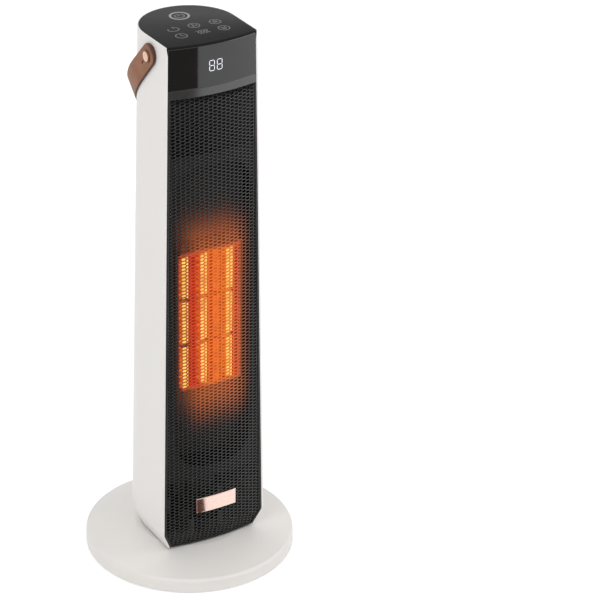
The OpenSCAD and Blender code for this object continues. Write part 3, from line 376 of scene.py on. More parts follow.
def glossy_black(name, colour, rough, spec):
    """Smooth black plastic or glass with a slight unevenness of its gloss."""
    mat, nt, bsdf = base_material(name)
    slow = noise(nt, coords(nt), 9.0, 2.0)
    tint = ramp(nt, slow, [(0.3, scaled(colour, 0.9)), (0.7, scaled(colour, 1.1))])
    nt.links.new(tint, bsdf.inputs["Base Color"])
    nt.links.new(spread(nt, slow, 0.0, 1.0, rough * 0.8, rough * 1.25), bsdf.inputs["Roughness"])
    bsdf.inputs["Specular IOR Level"].default_value = spec
    return mat


def lamp_material(name, colour, strength):
    """A lit segment, a little uneven over its face."""
    mat, nt, bsdf = base_material(name)
    tint = ramp(nt, noise(nt, coords(nt), 300.0, 1.0), [(0.2, scaled(colour, 0.92)), (0.8, colour)])
    nt.links.new(tint, bsdf.inputs["Emission Color"])
    bsdf.inputs["Base Color"].default_value = (*colour, 1.0)
    bsdf.inputs["Emission Strength"].default_value = strength
    return mat


EVEN_GRAIN = (300.0, 300.0, 300.0)
WHITE = moulded("white_casing", (0.80, 0.775, 0.755), 0.36, grain=1500.0, depth=0.05, vary=0.012, spec=0.45)
BASE_WHITE = moulded("white_base", (0.80, 0.775, 0.745), 0.42, grain=1300.0, depth=0.06, vary=0.015,
                     spec=0.4)
SATIN = moulded("satin_black", (0.030, 0.030, 0.031), 0.18, grain=1400.0, depth=0.02, vary=0.08, spec=0.9)
MATTE = moulded("matte_black", (0.016, 0.016, 0.017), 0.5, grain=1400.0, depth=0.15, vary=0.1, spec=0.4)
# Grey of the parts inside the tower; on the casing's inner faces it is painted shade
INNER_GREY = moulded("inner_grey", (0.16, 0.157, 0.154), 0.8, grain=1000.0, depth=0.2, vary=0.15, spec=0.05)
DARK = moulded("dark_plastic", (0.018, 0.018, 0.019), 0.55, grain=1000.0, depth=0.2, vary=0.12, spec=0.25)
NYLON = moulded("nylon", (0.66, 0.65, 0.6), 0.4, depth=0.1, vary=0.04)
RUBBER = moulded("rubber", (0.018, 0.018, 0.018), 0.75, grain=1600.0, depth=0.35, vary=0.15, spec=0.3)
BOARD = moulded("circuit_board", (0.02, 0.12, 0.05), 0.4, grain=500.0, depth=0.25, vary=0.25)
DARK_BOARD = moulded("lacquered_board", (0.012, 0.016, 0.013), 0.5, grain=500.0, depth=0.25, vary=0.25)
STEEL = brushed("steel", (0.52, 0.52, 0.53), 0.32)
DARK_STEEL = brushed("oxidised_steel", (0.06, 0.055, 0.05), 0.45)
SCREW = brushed("screw_steel", (0.62, 0.62, 0.63), 0.22)
FILTER = moulded("filter_foam", (0.14, 0.14, 0.145), 0.9, grain=2200.0, depth=0.9, vary=0.3, spec=0.2)
DISPLAY = glossy_black("display_gloss", (0.010, 0.010, 0.0105), 0.06, spec=0.66)
TOP_BLACK = glossy_black("top_gloss", (0.014, 0.014, 0.0142), 0.36, spec=0.06)
PRINT_GREY = moulded("print_grey", (0.15, 0.15, 0.152), 0.4, grain=1500.0, depth=0.05, vary=0.1, spec=0.2)
PRINT_PALE = moulded("print_pale", (0.34, 0.34, 0.345), 0.4, grain=1500.0, depth=0.05, vary=0.1, spec=0.2)
DIGIT = lamp_material("digit_light", (0.92, 0.95, 1.0), 0.52)
PLATE_MAT = brushed("plate_copper", (0.86, 0.66, 0.58), 0.07, (12.0, 12.0, 900.0), depth=0.012, dark=0.94)
COPPER_STUD = brushed("stud_copper", (0.70, 0.49, 0.37), 0.14, EVEN_GRAIN, dark=0.9)
# Darker copper for the studs' rims: painted shade
STUD_SIDE_PAINTED_SHADE = brushed("stud_side_painted_shade", (0.20, 0.085, 0.05), 0.4, EVEN_GRAIN, dark=0.8)

# White casing

INTAKE_HALF = 38.0
SWITCH_HALF = 9.0
INTAKE_Z = (183.0, 421.0)
SWITCH_Z = (72.0, 84.0)
# Columns of points on the casing: along each side, and round the back between the places where it breaks
SIDE_N = 10
BACK_BREAKS = [INTAKE_HALF, 26.0, 14.0, SWITCH_HALF]
BACK_COUNTS = [14, 4, 4, 2, 6, 2, 4, 4, 14]
# Rows of points on the casing, besides the edges of its openings and of its slanted foot. The frame of the
# front has those of the foot too.
FOOT_ROWS, LOW_ROWS, MIDDLE_ROWS = (6.0, 12.0), (56.0, 64.0), (100.0, 130.0, 160.0)
INTAKE_ROWS, HIGH_ROWS = 8, (450.0, 490.0, 530.0, 560.0, 590.0, 615.0)
SOFT_FOOT, SOFT_TOP = 0.6, 0.5
SCREW_X, SCREW_HEAD_R, SCREW_HEAD_T, SCREW_HOLE_R = 20.0, 3.4, 1.4, 1.7
POCKET_R, POCKET_H, CUP_R, CUP_T, CUP_DROP, CUP_GAP = 3.7, 6.0, 5.9, 2.5, 0.8, 0.02
SCREW_N = 32


def casing_path(z, inset):
    """Points from the left front corner round the back to the right one."""
    w = side_x(z, inset)
    y_front = front_y(w, z)
    left = [(-w, mix(y_front, ROUND_Y, i / SIDE_N)) for i in range(SIDE_N)]
    turns = [180.0] + [math.degrees(math.acos(-b / w)) for b in BACK_BREAKS]
    turns += [math.degrees(math.acos(b / w)) for b in reversed(BACK_BREAKS)] + [0.0]
    back = []
    for a, b, n in zip(turns, turns[1:], BACK_COUNTS):
        back += arc(0.0, ROUND_Y, w, w, a, b, n)[:-1]
    right = [(w, mix(ROUND_Y, y_front, i / SIDE_N)) for i in range(SIDE_N + 1)]
    return left + back + right


def casing_levels():
    """Heights of the casing's rings, with the edges of its two openings."""
    foot = [FOOT_Z + up for up in (0.0, SOFT_FOOT, *FOOT_ROWS, BEVEL_H - 1, BEVEL_H + 1)]
    intake = [mix(*INTAKE_Z, i / INTAKE_ROWS) for i in range(INTAKE_ROWS + 1)]
    top = [PANEL_Z, TOP_Z - SOFT_FOOT, TOP_Z]
    return foot + [*LOW_ROWS, *SWITCH_Z, *MIDDLE_ROWS] + intake + [*HIGH_ROWS] + top


def casing():
    """White shell round the sides and the back, with its two openings and the pockets of its screws."""
    b = Builder()
    levels = casing_levels()
    softened = {FOOT_Z: SOFT_FOOT, TOP_Z: SOFT_TOP}
    outer, inner = [], []
    for z in levels:
        outer.append(b.add([(x, y, z) for x, y in casing_path(z, softened.get(z, 0.0))]))
        inner.append(b.add([(x, y, z) for x, y in casing_path(z, WALL if z < PANEL_Z else RIM_W)]))
    intake = (SIDE_N + BACK_COUNTS[0], SIDE_N + sum(BACK_COUNTS[:-1]))
    switch = (SIDE_N + sum(BACK_COUNTS[:4]), SIDE_N + sum(BACK_COUNTS[:5]))
    openings = [([levels.index(z) for z in edges], columns)
                for edges, columns in ((INTAKE_Z, intake), (SWITCH_Z, switch))]

    def hole(k, i):
        return any(low <= k < high and left <= i < right for (low, high), (left, right) in openings)

    b.shell(outer, inner, hole)
    for rows, columns in openings:
        b.opening(outer, inner, rows, columns)
    obj = piece("casing", b, "tower", WHITE, ["rear_shell"])
    # The casing's inside faces take the inner grey: painted shade on the white shell's inside
    obj.data.materials.append(INNER_GREY)
    for face in obj.data.polygons:
        x, y, z = face.center / MM
        inside = math.hypot(x, max(0.0, y - ROUND_Y)) < side_x(z, RIM_W * 0.7)
        face.material_index = int(inside and z < PANEL_Z and y > front_y(x, z) + 0.5)
    pockets = Builder()
    for x, y, z in screw_places():
        mouth = circle(x, z, POCKET_R, SCREW_N)
        pockets.ring_solid([pockets.add([(px, y + d, pz) for px, pz in mouth]) for d in (-0.05, 20.0)])
    cut(obj, pockets)
    shade(obj)
    bevel(obj, 0.3)


def screw_places():
    """Seats of the four casing screws: X, Y of the seat, Z."""
    low, high = box_mm("casing_screws")
    places = []
    for z in (low.z + SCREW_HEAD_R, high.z - SCREW_HEAD_R):
        seat = back_y(SCREW_X + POCKET_R, z) - SCREW_HEAD_T
        places += [(-SCREW_X, seat, z), (SCREW_X, seat, z)]
    return places


def screw_cups():
    """Cups behind the casing's screw holes, each with a flat seat for the screw's head."""
    b = Builder()
    for x, y, z in screw_places():
        wall, rim, hole = (circle(x, z, r, SCREW_N) for r in (POCKET_R + CUP_GAP, CUP_R, SCREW_HOLE_R))
        mouth = [(px, min(back_y(px, pz) - CUP_DROP, y + POCKET_H), pz) for px, pz in wall]
        brim = [(px, back_y(px, pz) - CUP_DROP, pz) for px, pz in rim]
        seat = [(px, y, pz) for px, pz in wall]
        foot = [(px, y - CUP_T, pz) for px, pz in rim]
        hole = [(px, y, pz) for px, pz in hole]
        rings = [b.add(p) for p in (hole, seat, mouth, brim, foot)]
        hole_foot = b.add([(px, y - CUP_T, pz) for px, _, pz in hole])
        b.rows(rings + [hole_foot, rings[0]], closed=True)
    piece("screw_cups", b, "tower", WHITE)


casing()
screw_cups()

# Black front: display panel, frame and perforated sheet


def display_glass():
    """Slab of glossy glass that follows the bulged front."""
    b = Builder()
    nx = 48
    skins = []
    for depth in (0.0, DISPLAY_T):
        rows = []
        for z in (DISPLAY_Z + 0.05, *DISPLAY_ROWS, PANEL_Z - 0.1):
            w = side_x(z, WALL + GAP)
            xs = [mix(-w, w, i / nx) for i in range(nx + 1)]
            rows.append(b.add([(x, front_y(x, z, depth), z) for x in xs]))
        skins.append(rows)
    b.shell(*skins)
    bevel(piece("display_glass", b, "tower", DISPLAY, ["display_panel"]), 0.5, 3)


def front_frame():
    """Frame round the perforated sheet, with the plain glossier band above it."""
    b = Builder()
    nx = 28
    levels = [FOOT_Z, WINDOW_LOW] + [FOOT_Z + up for up in (*FOOT_ROWS, BEVEL_H)]
    levels += [mix(FOOT_Z + BEVEL_H, BAND_Z, i / 12) for i in range(1, 13)]
    levels += [BAND_MIDDLE_Z, DISPLAY_Z - 0.1]
    skins = []
    for depth in (FRAME_SKIN, FRAME_D):
        rows = []
        for z in levels:
            w = side_x(z, WALL + GAP)
            window = side_x(z, WALL + FRAME_GAP + FRAME_SIDE)
            xs = [-w] + [mix(-window, window, i / nx) for i in range(nx + 1)] + [w]
            rows.append(b.add([(x, front_y(x, z, depth), z) for x in xs]))
        skins.append(rows)
    low, high = levels.index(WINDOW_LOW), levels.index(BAND_Z)
    b.shell(*skins, lambda k, i: low <= k < high and 1 <= i <= nx)
    b.opening(*skins, (low, high), (1, nx + 1))
    obj = piece("front_surround", b, "tower", SATIN, ["front_frame"])
    obj.data.materials.append(MATTE)
    for face in obj.data.polygons:
        face.material_index = int(face.center.z < BAND_Z * MM)
    bevel(obj, 0.3)


# The heater's glow, painted as emission on the sheet and the duct: how wide and how high it is on the
# sheet, and how far its painted halo reaches past its middle
GLOW_LEFT, GLOW_RIGHT = -43.0, 33.5
GLOW_LOW, GLOW_HIGH = 228.0, 392.0
HALO_X, HALO_SOFT_X, HALO_SOFT_Z = (-12.0, 20.0), 32.0, 62.0
HALO_LEVEL, DUCT_LEVEL = 0.42, 0.22
# The duct's walls are the faces that turn away from the front, and its rim is what lies before the heater;
# both are darkened as painted shade
WALL_FACING, WALL_PAINTED_SHADE, RIM_PAINTED_SHADE = 0.7, 0.01, 0.62
# Colours of the painted glow from left to right, and the dark gaps in it between the blocks of its left
# column
GLOW_STOPS = [
    (0.0, (0.0, 0.0, 0.0)), (0.02, (0.36, 0.03, 0.006)), (0.045, (0.38, 0.05, 0.0)),
    (0.144, (0.38, 0.05, 0.0)), (0.18, (0.52, 0.025, 0.0)), (0.30, (0.62, 0.027, 0.0)),
    (0.365, (0.68, 0.10, 0.0)), (0.48, (0.76, 0.13, 0.0)), (0.77, (0.76, 0.13, 0.0)),
    (0.87, (0.66, 0.10, 0.004)), (0.90, (0.66, 0.07, 0.004)), (0.96, (0.60, 0.08, 0.01)),
    (0.985, (0.15, 0.03, 0.006)), (1.0, (0.0, 0.0, 0.0))]
BLOCK_GAPS = ((281.5, 283.5), (337.5, 339.5))
LEFT_COLUMN = (-43.0, -34.0)


def fade(nt, value, low, high, soft):
    """1 between two places along an axis, fading out over a distance past each, in millimetres."""
    centre, half = (low + high) / 2, (high - low) / 2
    away = math_node(nt, "ABSOLUTE", math_node(nt, "SUBTRACT", value, centre * MM))
    return spread(nt, away, half * MM, (half + soft) * MM, 1.0, 0.0, "SMOOTHERSTEP")


def less(nt, share, value):
    """1 less a share of a value."""
    return math_node(nt, "SUBTRACT", 1.0, math_node(nt, "MULTIPLY", value, share))


def glow_round(nt, x, z):
    """How strongly the heater's painted glow shows on the parts round it."""
    across = fade(nt, x, *HALO_X, HALO_SOFT_X)
    return math_node(nt, "MULTIPLY", across, fade(nt, z, GLOW_LOW - 2, GLOW_HIGH - 10, HALO_SOFT_Z))


def duct_material():
    """Dark plastic of the air duct, with painted shade on its walls and rim and the heater's glow painted
    on its middle as emission.
    """
    mat = moulded("air_duct", (0.036, 0.0355, 0.035), 0.7, grain=1000.0, depth=0.2, vary=0.12, spec=0.1)
    nt = mat.node_tree
    bsdf = nt.nodes["Principled BSDF"]
    vec = coords(nt)
    place = axes(nt, vec)
    facing = axes(nt, nt.nodes.new("ShaderNodeTexCoord").outputs["Normal"])
    wall = math_node(nt, "LESS_THAN", math_node(nt, "ABSOLUTE", facing["Y"]), WALL_FACING)
    rim = math_node(nt, "LESS_THAN", place["Y"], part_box("heater_frame")[0].y)
    tint = bsdf.inputs["Base Color"].links[0].from_socket
    # Painted shade: the walls and the rim behind the sheet are darkened in the colour
    for where, shade_left in ((rim, RIM_PAINTED_SHADE), (wall, WALL_PAINTED_SHADE)):
        tint = mix_colour(nt, "MULTIPLY", tint, (shade_left, shade_left, shade_left), where)
    nt.links.new(tint, bsdf.inputs["Base Color"])
    # The heater's glow painted onto the duct's middle as emission
    warm = ramp(nt, noise(nt, vec, 40.0), [(0.3, (1.0, 0.15, 0.01)), (0.7, (1.0, 0.22, 0.03))])
    lit = mix_colour(nt, "MULTIPLY", warm, glow_round(nt, place["X"], place["Z"]))
    nt.links.new(lit, bsdf.inputs["Emission Color"])
    bsdf.inputs["Emission Strength"].default_value = DUCT_LEVEL
    return mat


def mesh_material():
    """Black enamelled sheet with a soft sheen, with the heater's glow and halo painted on it as emission.
    """
    mat, nt, bsdf = base_material("mesh_enamel")
    vec = coords(nt)
    tint = ramp(nt, noise(nt, vec, 22.0), [(0.3, (0.004, 0.004, 0.004)), (0.7, (0.007, 0.0067, 0.0064))])
    nt.links.new(tint, bsdf.inputs["Base Color"])
    bsdf.inputs["Roughness"].default_value = 0.26
    bsdf.inputs["Specular IOR Level"].default_value = 0.62
    bumped(nt, bsdf, noise(nt, vec, 1800.0, 2.0), 0.08, GRAIN_HEIGHT)
    place = axes(nt, vec)
    x, z = place["X"], place["Z"]
    # The heater's glow and halo are painted onto the sheet as emission by place, not cast by a lamp
    across = ramp(nt, spread(nt, x, GLOW_LEFT * MM, GLOW_RIGHT * MM), GLOW_STOPS)
    core = fade(nt, z, GLOW_LOW + 3, GLOW_HIGH - 3, 4.0)
    glowing = math_node(nt, "MULTIPLY", fade(nt, x, GLOW_LEFT + 2, GLOW_RIGHT - 1, 3.0), core)
    gaps = math_node(nt, "MAXIMUM", *(fade(nt, z, *edges, 1.5) for edges in BLOCK_GAPS))
    gaps = math_node(nt, "MULTIPLY", gaps, fade(nt, x, *LEFT_COLUMN, 2.5))
    core = math_node(nt, "MULTIPLY", core, less(nt, 0.8, gaps))
    outside = math_node(nt, "MULTIPLY", less(nt, 1.0, glowing), HALO_LEVEL)
    halo = math_node(nt, "MULTIPLY", glow_round(nt, x, z), outside)
    near = mix_colour(nt, "MULTIPLY", across, core)
    wide = mix_colour(nt, "MULTIPLY", (1.0, 0.20, 0.02), halo)
    nt.links.new(mix_colour(nt, "ADD", near, wide), bsdf.inputs["Emission Color"])
    bsdf.inputs["Emission Strength"].default_value = 1.0
    return mat


# The perforated sheet: steps of its holes, their outline, and the shape of the webs and of the border
ROW, COLUMN, WEB = 3.92, 5.2, 1.05
HOLE = [(1, 0), (0.5, 1), (-0.5, 1), (-1, 0), (-0.5, -1), (0.5, -1)]
SIDE_WEB, TOP_WEB = 0.72, 0.4
SHEET_PAST, HOLE_INSET = 0.7, 1.2
CROWN_SHARE, CROWN_DROP, EDGE_DROP = 0.55, 0.09, 0.45
SMALLEST_CELL, SMALLEST_HOLE = 0.05, (0.8, 0.7)


def perforated_front():
    """A sheet with staggered long six-sided holes; its crowned webs are thinner right under the band."""
    b = Builder()
    z_low, z_high = WINDOW_LOW - 1.0, BAND_Z + 1.0
    hole_low, hole_high = WINDOW_LOW + 1.0, BAND_Z - 0.4
    hw, hh = COLUMN * 2 / 3, ROW / 2

    def clamp(x, z, low, high, inset):
        z = min(max(z, low), high)
        edge = side_x(z, WALL + FRAME_SIDE + inset)
        return min(max(x, -edge), edge), z

    def sheet(points, depth):
        return b.add([(x, front_y(x, z, MESH_DEPTH + depth), z) for x, z in points])

    border = {}
    columns = int(FOOT_HALF / COLUMN) + 1
    rows = int((hole_high - hole_low) / ROW) + 3
    for c in range(-columns, columns + 1):
        for r in range(-2, rows):
            x0 = c * COLUMN
            z0 = hole_low + ROW * (r + 0.5 + (c % 2) / 2)
            outer = [clamp(x0 + sx * hw, z0 + sz * hh, z_low, z_high, -SHEET_PAST) for sx, sz in HOLE]
            area = sum(p[0] * q[1] - q[0] * p[1] for p, q in zip(outer, outer[1:] + outer[:1])) / 2
            if area < SMALLEST_CELL:
                continue
            web = WEB * (TOP_WEB if z0 > hole_high - ROW else 1.0)
            half_x, half_z = hw - web * SIDE_WEB, hh * (1 - web / ROW)
            inner = [clamp(x0 + sx * half_x, z0 + sz * half_z, hole_low, hole_high, HOLE_INSET)
                     for sx, sz in HOLE]
            wide, high = (max(p[axis] for p in inner) - min(p[axis] for p in inner) for axis in (0, 1))
            front, back = sheet(outer, 0.0), sheet(outer, MESH_T)
            for i in range(6):
                j = (i + 1) % 6
                ends = [(round(outer[k][0], 3), round(outer[k][1], 3)) for k in (i, j)]
                if ends[0] != ends[1] and border.pop((ends[1], ends[0]), None) is None:
                    border[tuple(ends)] = (front[j], front[i], back[i], back[j])
            if wide < SMALLEST_HOLE[0] or high < SMALLEST_HOLE[1]:
                b.cap(front)
                b.cap(back[::-1])
                continue
            middle = [tuple(mix(o[axis], i[axis], CROWN_SHARE) for axis in (0, 1))
                      for o, i in zip(outer, inner)]
            rings = [front, sheet(middle, CROWN_DROP), sheet(inner, EDGE_DROP), sheet(inner, MESH_T), back]
            for ring, after in zip(rings, rings[1:]):
                b.strip(ring, after, closed=True)
    b.f.extend(border.values())
    piece("perforated_front", b, "tower", mesh_material(), ["grille_mesh"], smooth=50,
          turn=False)


display_glass()
front_frame()
perforated_front()

# Top panel, its icons and the digits

# Rings of the top plate's rim: height, how far it is moved in at the sides and back, and at the front
TOP_RIM = ((PANEL_Z, 1.15, 1.0), (TOP_Z - 1.2, 1.15, 1.0), (TOP_Z - 0.7, 1.15, 0.7),
           (TOP_Z - 0.25, 1.35, 0.9), (TOP_Z, 1.9, 1.5))


def top_panel():
    """Top plate with a softened rim, set back a little over the display."""
    b = Builder()
    rings = []
    for z, inset, front in TOP_RIM:
        w = side_x(z, inset)
        points = [(x, front_y(x, z, front), z) for x in (mix(-w, w, i / 48) for i in range(49))]
        rings.append(b.add(points + [(x, y, z) for x, y in arc(0.0, ROUND_Y, w, w, 0, 180, 96)]))
    b.ring_solid(rings)
    piece("top_plate", b, "tower", TOP_BLACK, ["top_panel"], smooth=30)


PRINT_LOW, PRINT_HIGH = TOP_Z - 0.02, TOP_Z + 0.03


def flat_strip(b, points, width, closed=False):
    """A flat printed band along a path in X and Y."""
    n = len(points)
    left, right = [], []
    for i in range(n):
        before = points[(i - 1) % n] if closed or i else points[i]
        after = points[(i + 1) % n] if closed or i < n - 1 else points[i]
        d = (Vector(after) - Vector(before)).normalized() * width / 2
        left.append((points[i][0] - d.y, points[i][1] + d.x))
        right.append((points[i][0] + d.y, points[i][1] - d.x))
    low_l, low_r, top_l, top_r = (b.add([(x, y, z) for x, y in side])
                                  for z in (PRINT_LOW, PRINT_HIGH) for side in (left, right))
    for one, other in ((top_l, top_r), (low_r, low_l), (low_l, top_l), (top_r, low_r)):
        b.strip(one, other, closed=closed)
    if not closed:
        b.cap([low_l[0], low_r[0], top_r[0], top_l[0]])
        b.cap([low_l[-1], top_l[-1], top_r[-1], low_r[-1]])


POWER, POWER_R, SIGN_R = (1.5, 24.5), 9.9, 4.9
RING_W, SIGN_W = 2.2, 1.6
ICONS = {"swing": (-22.3, -6.5), "timer": (-23.3, -25.5), "fan": (1.7, -6.5), "heat": (1.7, -25.5),
         "up": (26.0, -7.5), "down": (25.7, -27.0)}
ICON_R, ICON_W, BLADE_W, ARROW_W = 6.0, 1.15, 2.0, 1.5


def power_icon():
    """The power key: a thick ring round an open circle with a bar."""
    b = Builder()
    x, y = POWER
    flat_strip(b, circle(x, y, POWER_R, 48), RING_W, True)
    piece("power_ring", b, "tower", PRINT_PALE)
    b = Builder()
    flat_strip(b, arc(x, y - 0.4, SIGN_R, SIGN_R, 125, 415, 24), SIGN_W)
    flat_strip(b, [(x, y - 0.5), (x, y + 5.8)], SIGN_W)
    piece("power_sign", b, "tower", PRINT_GREY)


def touch_icons():
    """Six plain pictograms: swing, timer, fan, heat waves, up and down."""
    b = Builder()

    def ring(name):
        x, y = ICONS[name]
        flat_strip(b, circle(x, y, ICON_R, 30), ICON_W, True)
        return x, y

    x, y = ICONS["swing"]
    flat_strip(b, arc(x, y, ICON_R, ICON_R * 0.8, 140, 440, 24), ICON_W)
    flat_strip(b, [(x + 0.4, y + 6.3), (x + 3.8, y + 4.4), (x + 1.2, y + 2.2)], ICON_W)
    x, y = ring("timer")
    flat_strip(b, [(x, y + 3.8), (x, y), (x + 3.2, y - 1.8)], ICON_W)
    x, y = ring("fan")
    for turn in (90, 210, 330):
        flat_strip(b, [arc(x, y, r, r, a, a, 1)[0] for r, a in ((0.8, turn), (4.0, turn + 25))], BLADE_W)
    x, y = ICONS["heat"]
    for k in (-1.5, -0.5, 0.5, 1.5):
        wave = [(x + 3.3 * k + math.sin(t * 1.1), y - 5.2 + t) for t in (0.5 * i for i in range(21))]
        flat_strip(b, wave, ICON_W)
    for name, lift in (("up", 1), ("down", -1)):
        x, y = ring(name)
        for tip in (2.9, -0.1):
            foot = y + (tip - 2.6) * lift
            flat_strip(b, [(x - 2.6, foot), (x, y + tip * lift), (x + 2.6, foot)], ARROW_W)
    piece("touch_icons", b, "tower", PRINT_GREY)


DIGIT_LOW, DIGIT_HIGH = 593.8, 605.0
DIGIT_SPANS = ((-7.3, -1.0), (1.6, 8.0))
DIGIT_STROKE, DIGIT_IN, DIGIT_TIP, DIGIT_PROUD = 0.6, 0.35, 0.4, 0.05


def digits():
    """Two seven-segment digits, all segments lit, just proud of the display glass."""
    b = Builder()
    mid, half = (DIGIT_LOW + DIGIT_HIGH) / 2, DIGIT_STROKE / 2
    for x0, x1 in DIGIT_SPANS:
        segments = []
        left, right = x0 + 2 * DIGIT_IN, x1 - 2 * DIGIT_IN
        for z in (DIGIT_LOW, mid, DIGIT_HIGH):
            segments.append([(left, z), (left + DIGIT_TIP, z + half), (right - DIGIT_TIP, z + half),
                             (right, z), (right - DIGIT_TIP, z - half), (left + DIGIT_TIP, z - half)])
        for x in (x0 + DIGIT_IN, x1 - DIGIT_IN):
            for foot, head in ((DIGIT_LOW, mid), (mid, DIGIT_HIGH)):
                low, high = foot + DIGIT_TIP, head - DIGIT_TIP
                segments.append([(x, low), (x - half, low + DIGIT_TIP), (x - half, high - DIGIT_TIP),
                                 (x, high), (x + half, high - DIGIT_TIP), (x + half, low + DIGIT_TIP)])
        for segment in segments:
            b.ring_solid([b.add([(x, front_y(x, z, depth), z) for x, z in segment])
                          for depth in (DIGIT_PROUD, -DIGIT_PROUD)])
    piece("display_digits", b, "tower", DIGIT)


top_panel()
power_icon()
touch_icons()
digits()

# Name plate

# Rings of the plate from its back over the raised rim to its face: depth behind the bulge, and inset
PLATE_RINGS = ((1.15, 0.3), (0.2, 0.3), (-0.05, 0.7), (-0.05, 1.1), (0.06, 1.3), (0.06, 1.4))


def name_plate():
    """A bare metal plate with a raised, rounded rim."""
    b = Builder()
    low, high = box_mm("nameplate")
    nx = 24
    rings = []
    for depth, inset in PLATE_RINGS:
        xs = [mix(low.x + inset, high.x - inset, i / nx) for i in range(nx + 1)]
        z0, z1 = low.z + inset, high.z - inset
        points = [(x, front_y(x, z0, depth), z0) for x in xs]
        rings.append(b.add(points + [(x, front_y(x, z1, depth), z1) for x in reversed(xs)]))
    b.rows(rings, closed=True)
    for ring in (rings[-1], rings[0]):
        b.strip(ring[:nx + 1], ring[nx + 1:][::-1])
    piece("name_plate", b, "tower", PLATE_MAT, ["nameplate"], smooth=30)


name_plate()

# Leather strap and its studs

STUD_BOX = box_mm("strap_studs")
STUD_Y, STUD_Z = ((a + b) / 2 for a, b in zip(STUD_BOX[0].yz, STUD_BOX[1].yz))
STRAP_W, STRAP_HEAD, STRAP_T, STRAP_EDGE = 26.0, 12.2, 3.0, 1.25
# How far the strap goes past the studs, runs straight, widens and reaches, and how square its bend is
STRAP_PAST, STRAP_ARM, STRAP_TAPER, STRAP_REACH, STRAP_SQUARE = 3.0, 34.0, 45.0, 116.0, 1.1
STRAP_DEG = 46.0
STRAP_OFF, STRAP_CLEAR = 0.6, 0.3
SLIT_END, SLIT_R = 15.0, 1.7
STRAP_X = half_w(STUD_Z) + STRAP_OFF + STRAP_T / 2
STRAP_RUN = Vector((0, math.cos(math.radians(STRAP_DEG)), -math.sin(math.radians(STRAP_DEG))))
STRAP_UP = Vector((0, math.sin(math.radians(STRAP_DEG)), math.cos(math.radians(STRAP_DEG))))


def strap_line():
    """Centre line of the strap: distance from the middle and from the studs at each point."""
    turns = [math.radians(a) for a in (4, 12, 22, 34, 46, 58, 70, 80)]
    end = [(STRAP_X, -STRAP_PAST - STRAP_HEAD * math.cos(a)) for a in turns]
    arm = [(STRAP_X, mix(-STRAP_PAST, STRAP_ARM, i / 8)) for i in range(8)]
    bend = []
    for i in range(31):
        a = math.radians(3 * i)
        past_arm = (STRAP_REACH - STRAP_ARM) * math.sin(a) ** STRAP_SQUARE
        bend.append((STRAP_X * math.cos(a), STRAP_ARM + past_arm))
    half = end + arm + bend
    return half + [(-x, u) for x, u in reversed(half[:-1])]


def strap_half(u):
    """Half width of the strap at a distance from the studs, where it isn't rounded off."""
    return mix(STRAP_HEAD, STRAP_W / 2, min(1.0, max(0.0, u / STRAP_TAPER)))


def clear_of_casing(p):
    """Moves a point of the strap's inside out of the casing."""
    w = half_w(p.z) + STRAP_CLEAR
    if p.y < ROUND_Y:
        return Vector((math.copysign(max(abs(p.x), w), p.x), p.y, p.z))
    r = math.hypot(p.x, p.y - ROUND_Y)
    k = max(1.0, w / r)
    return Vector((p.x * k, ROUND_Y + (p.y - ROUND_Y) * k, p.z))


def leather_material():
    """Tan leather: pores, wrinkles, slow shades and dark burnished edges."""
    mat, nt, bsdf = base_material("tan_leather")
    vec = coords(nt)
    pores = node(nt, "ShaderNodeTexVoronoi", Scale=900.0)
    nt.links.new(vec, pores.inputs["Vector"])
    wrinkle = noise(nt, vec, 260.0, 5.0, 0.65)
    tans = [(0.25, (0.21, 0.088, 0.045)), (0.55, (0.28, 0.121, 0.066)), (0.8, (0.34, 0.154, 0.088))]
    tint = ramp(nt, noise(nt, vec, 38.0), tans)
    inward = axes(nt, node(nt, "ShaderNodeUVMap", uv_map="strap").outputs["UV"])["Y"]
    edge = ramp(nt, inward, [(0.03, (0, 0, 0)), (0.09, (1, 1, 1))])
    worn = mix_colour(nt, "MULTIPLY", tint, edge)
    nt.links.new(mix_colour(nt, "LIGHTEN", worn, (0.080, 0.038, 0.026)), bsdf.inputs["Base Color"])
    bumped(nt, bsdf, math_node(nt, "ADD", pores.outputs["Distance"], wrinkle), 0.35, LEATHER_HEIGHT)
    nt.links.new(spread(nt, wrinkle, 0.0, 1.0, 0.42, 0.62), bsdf.inputs["Roughness"])
    bsdf.inputs["Specular IOR Level"].default_value = 0.2
    return mat


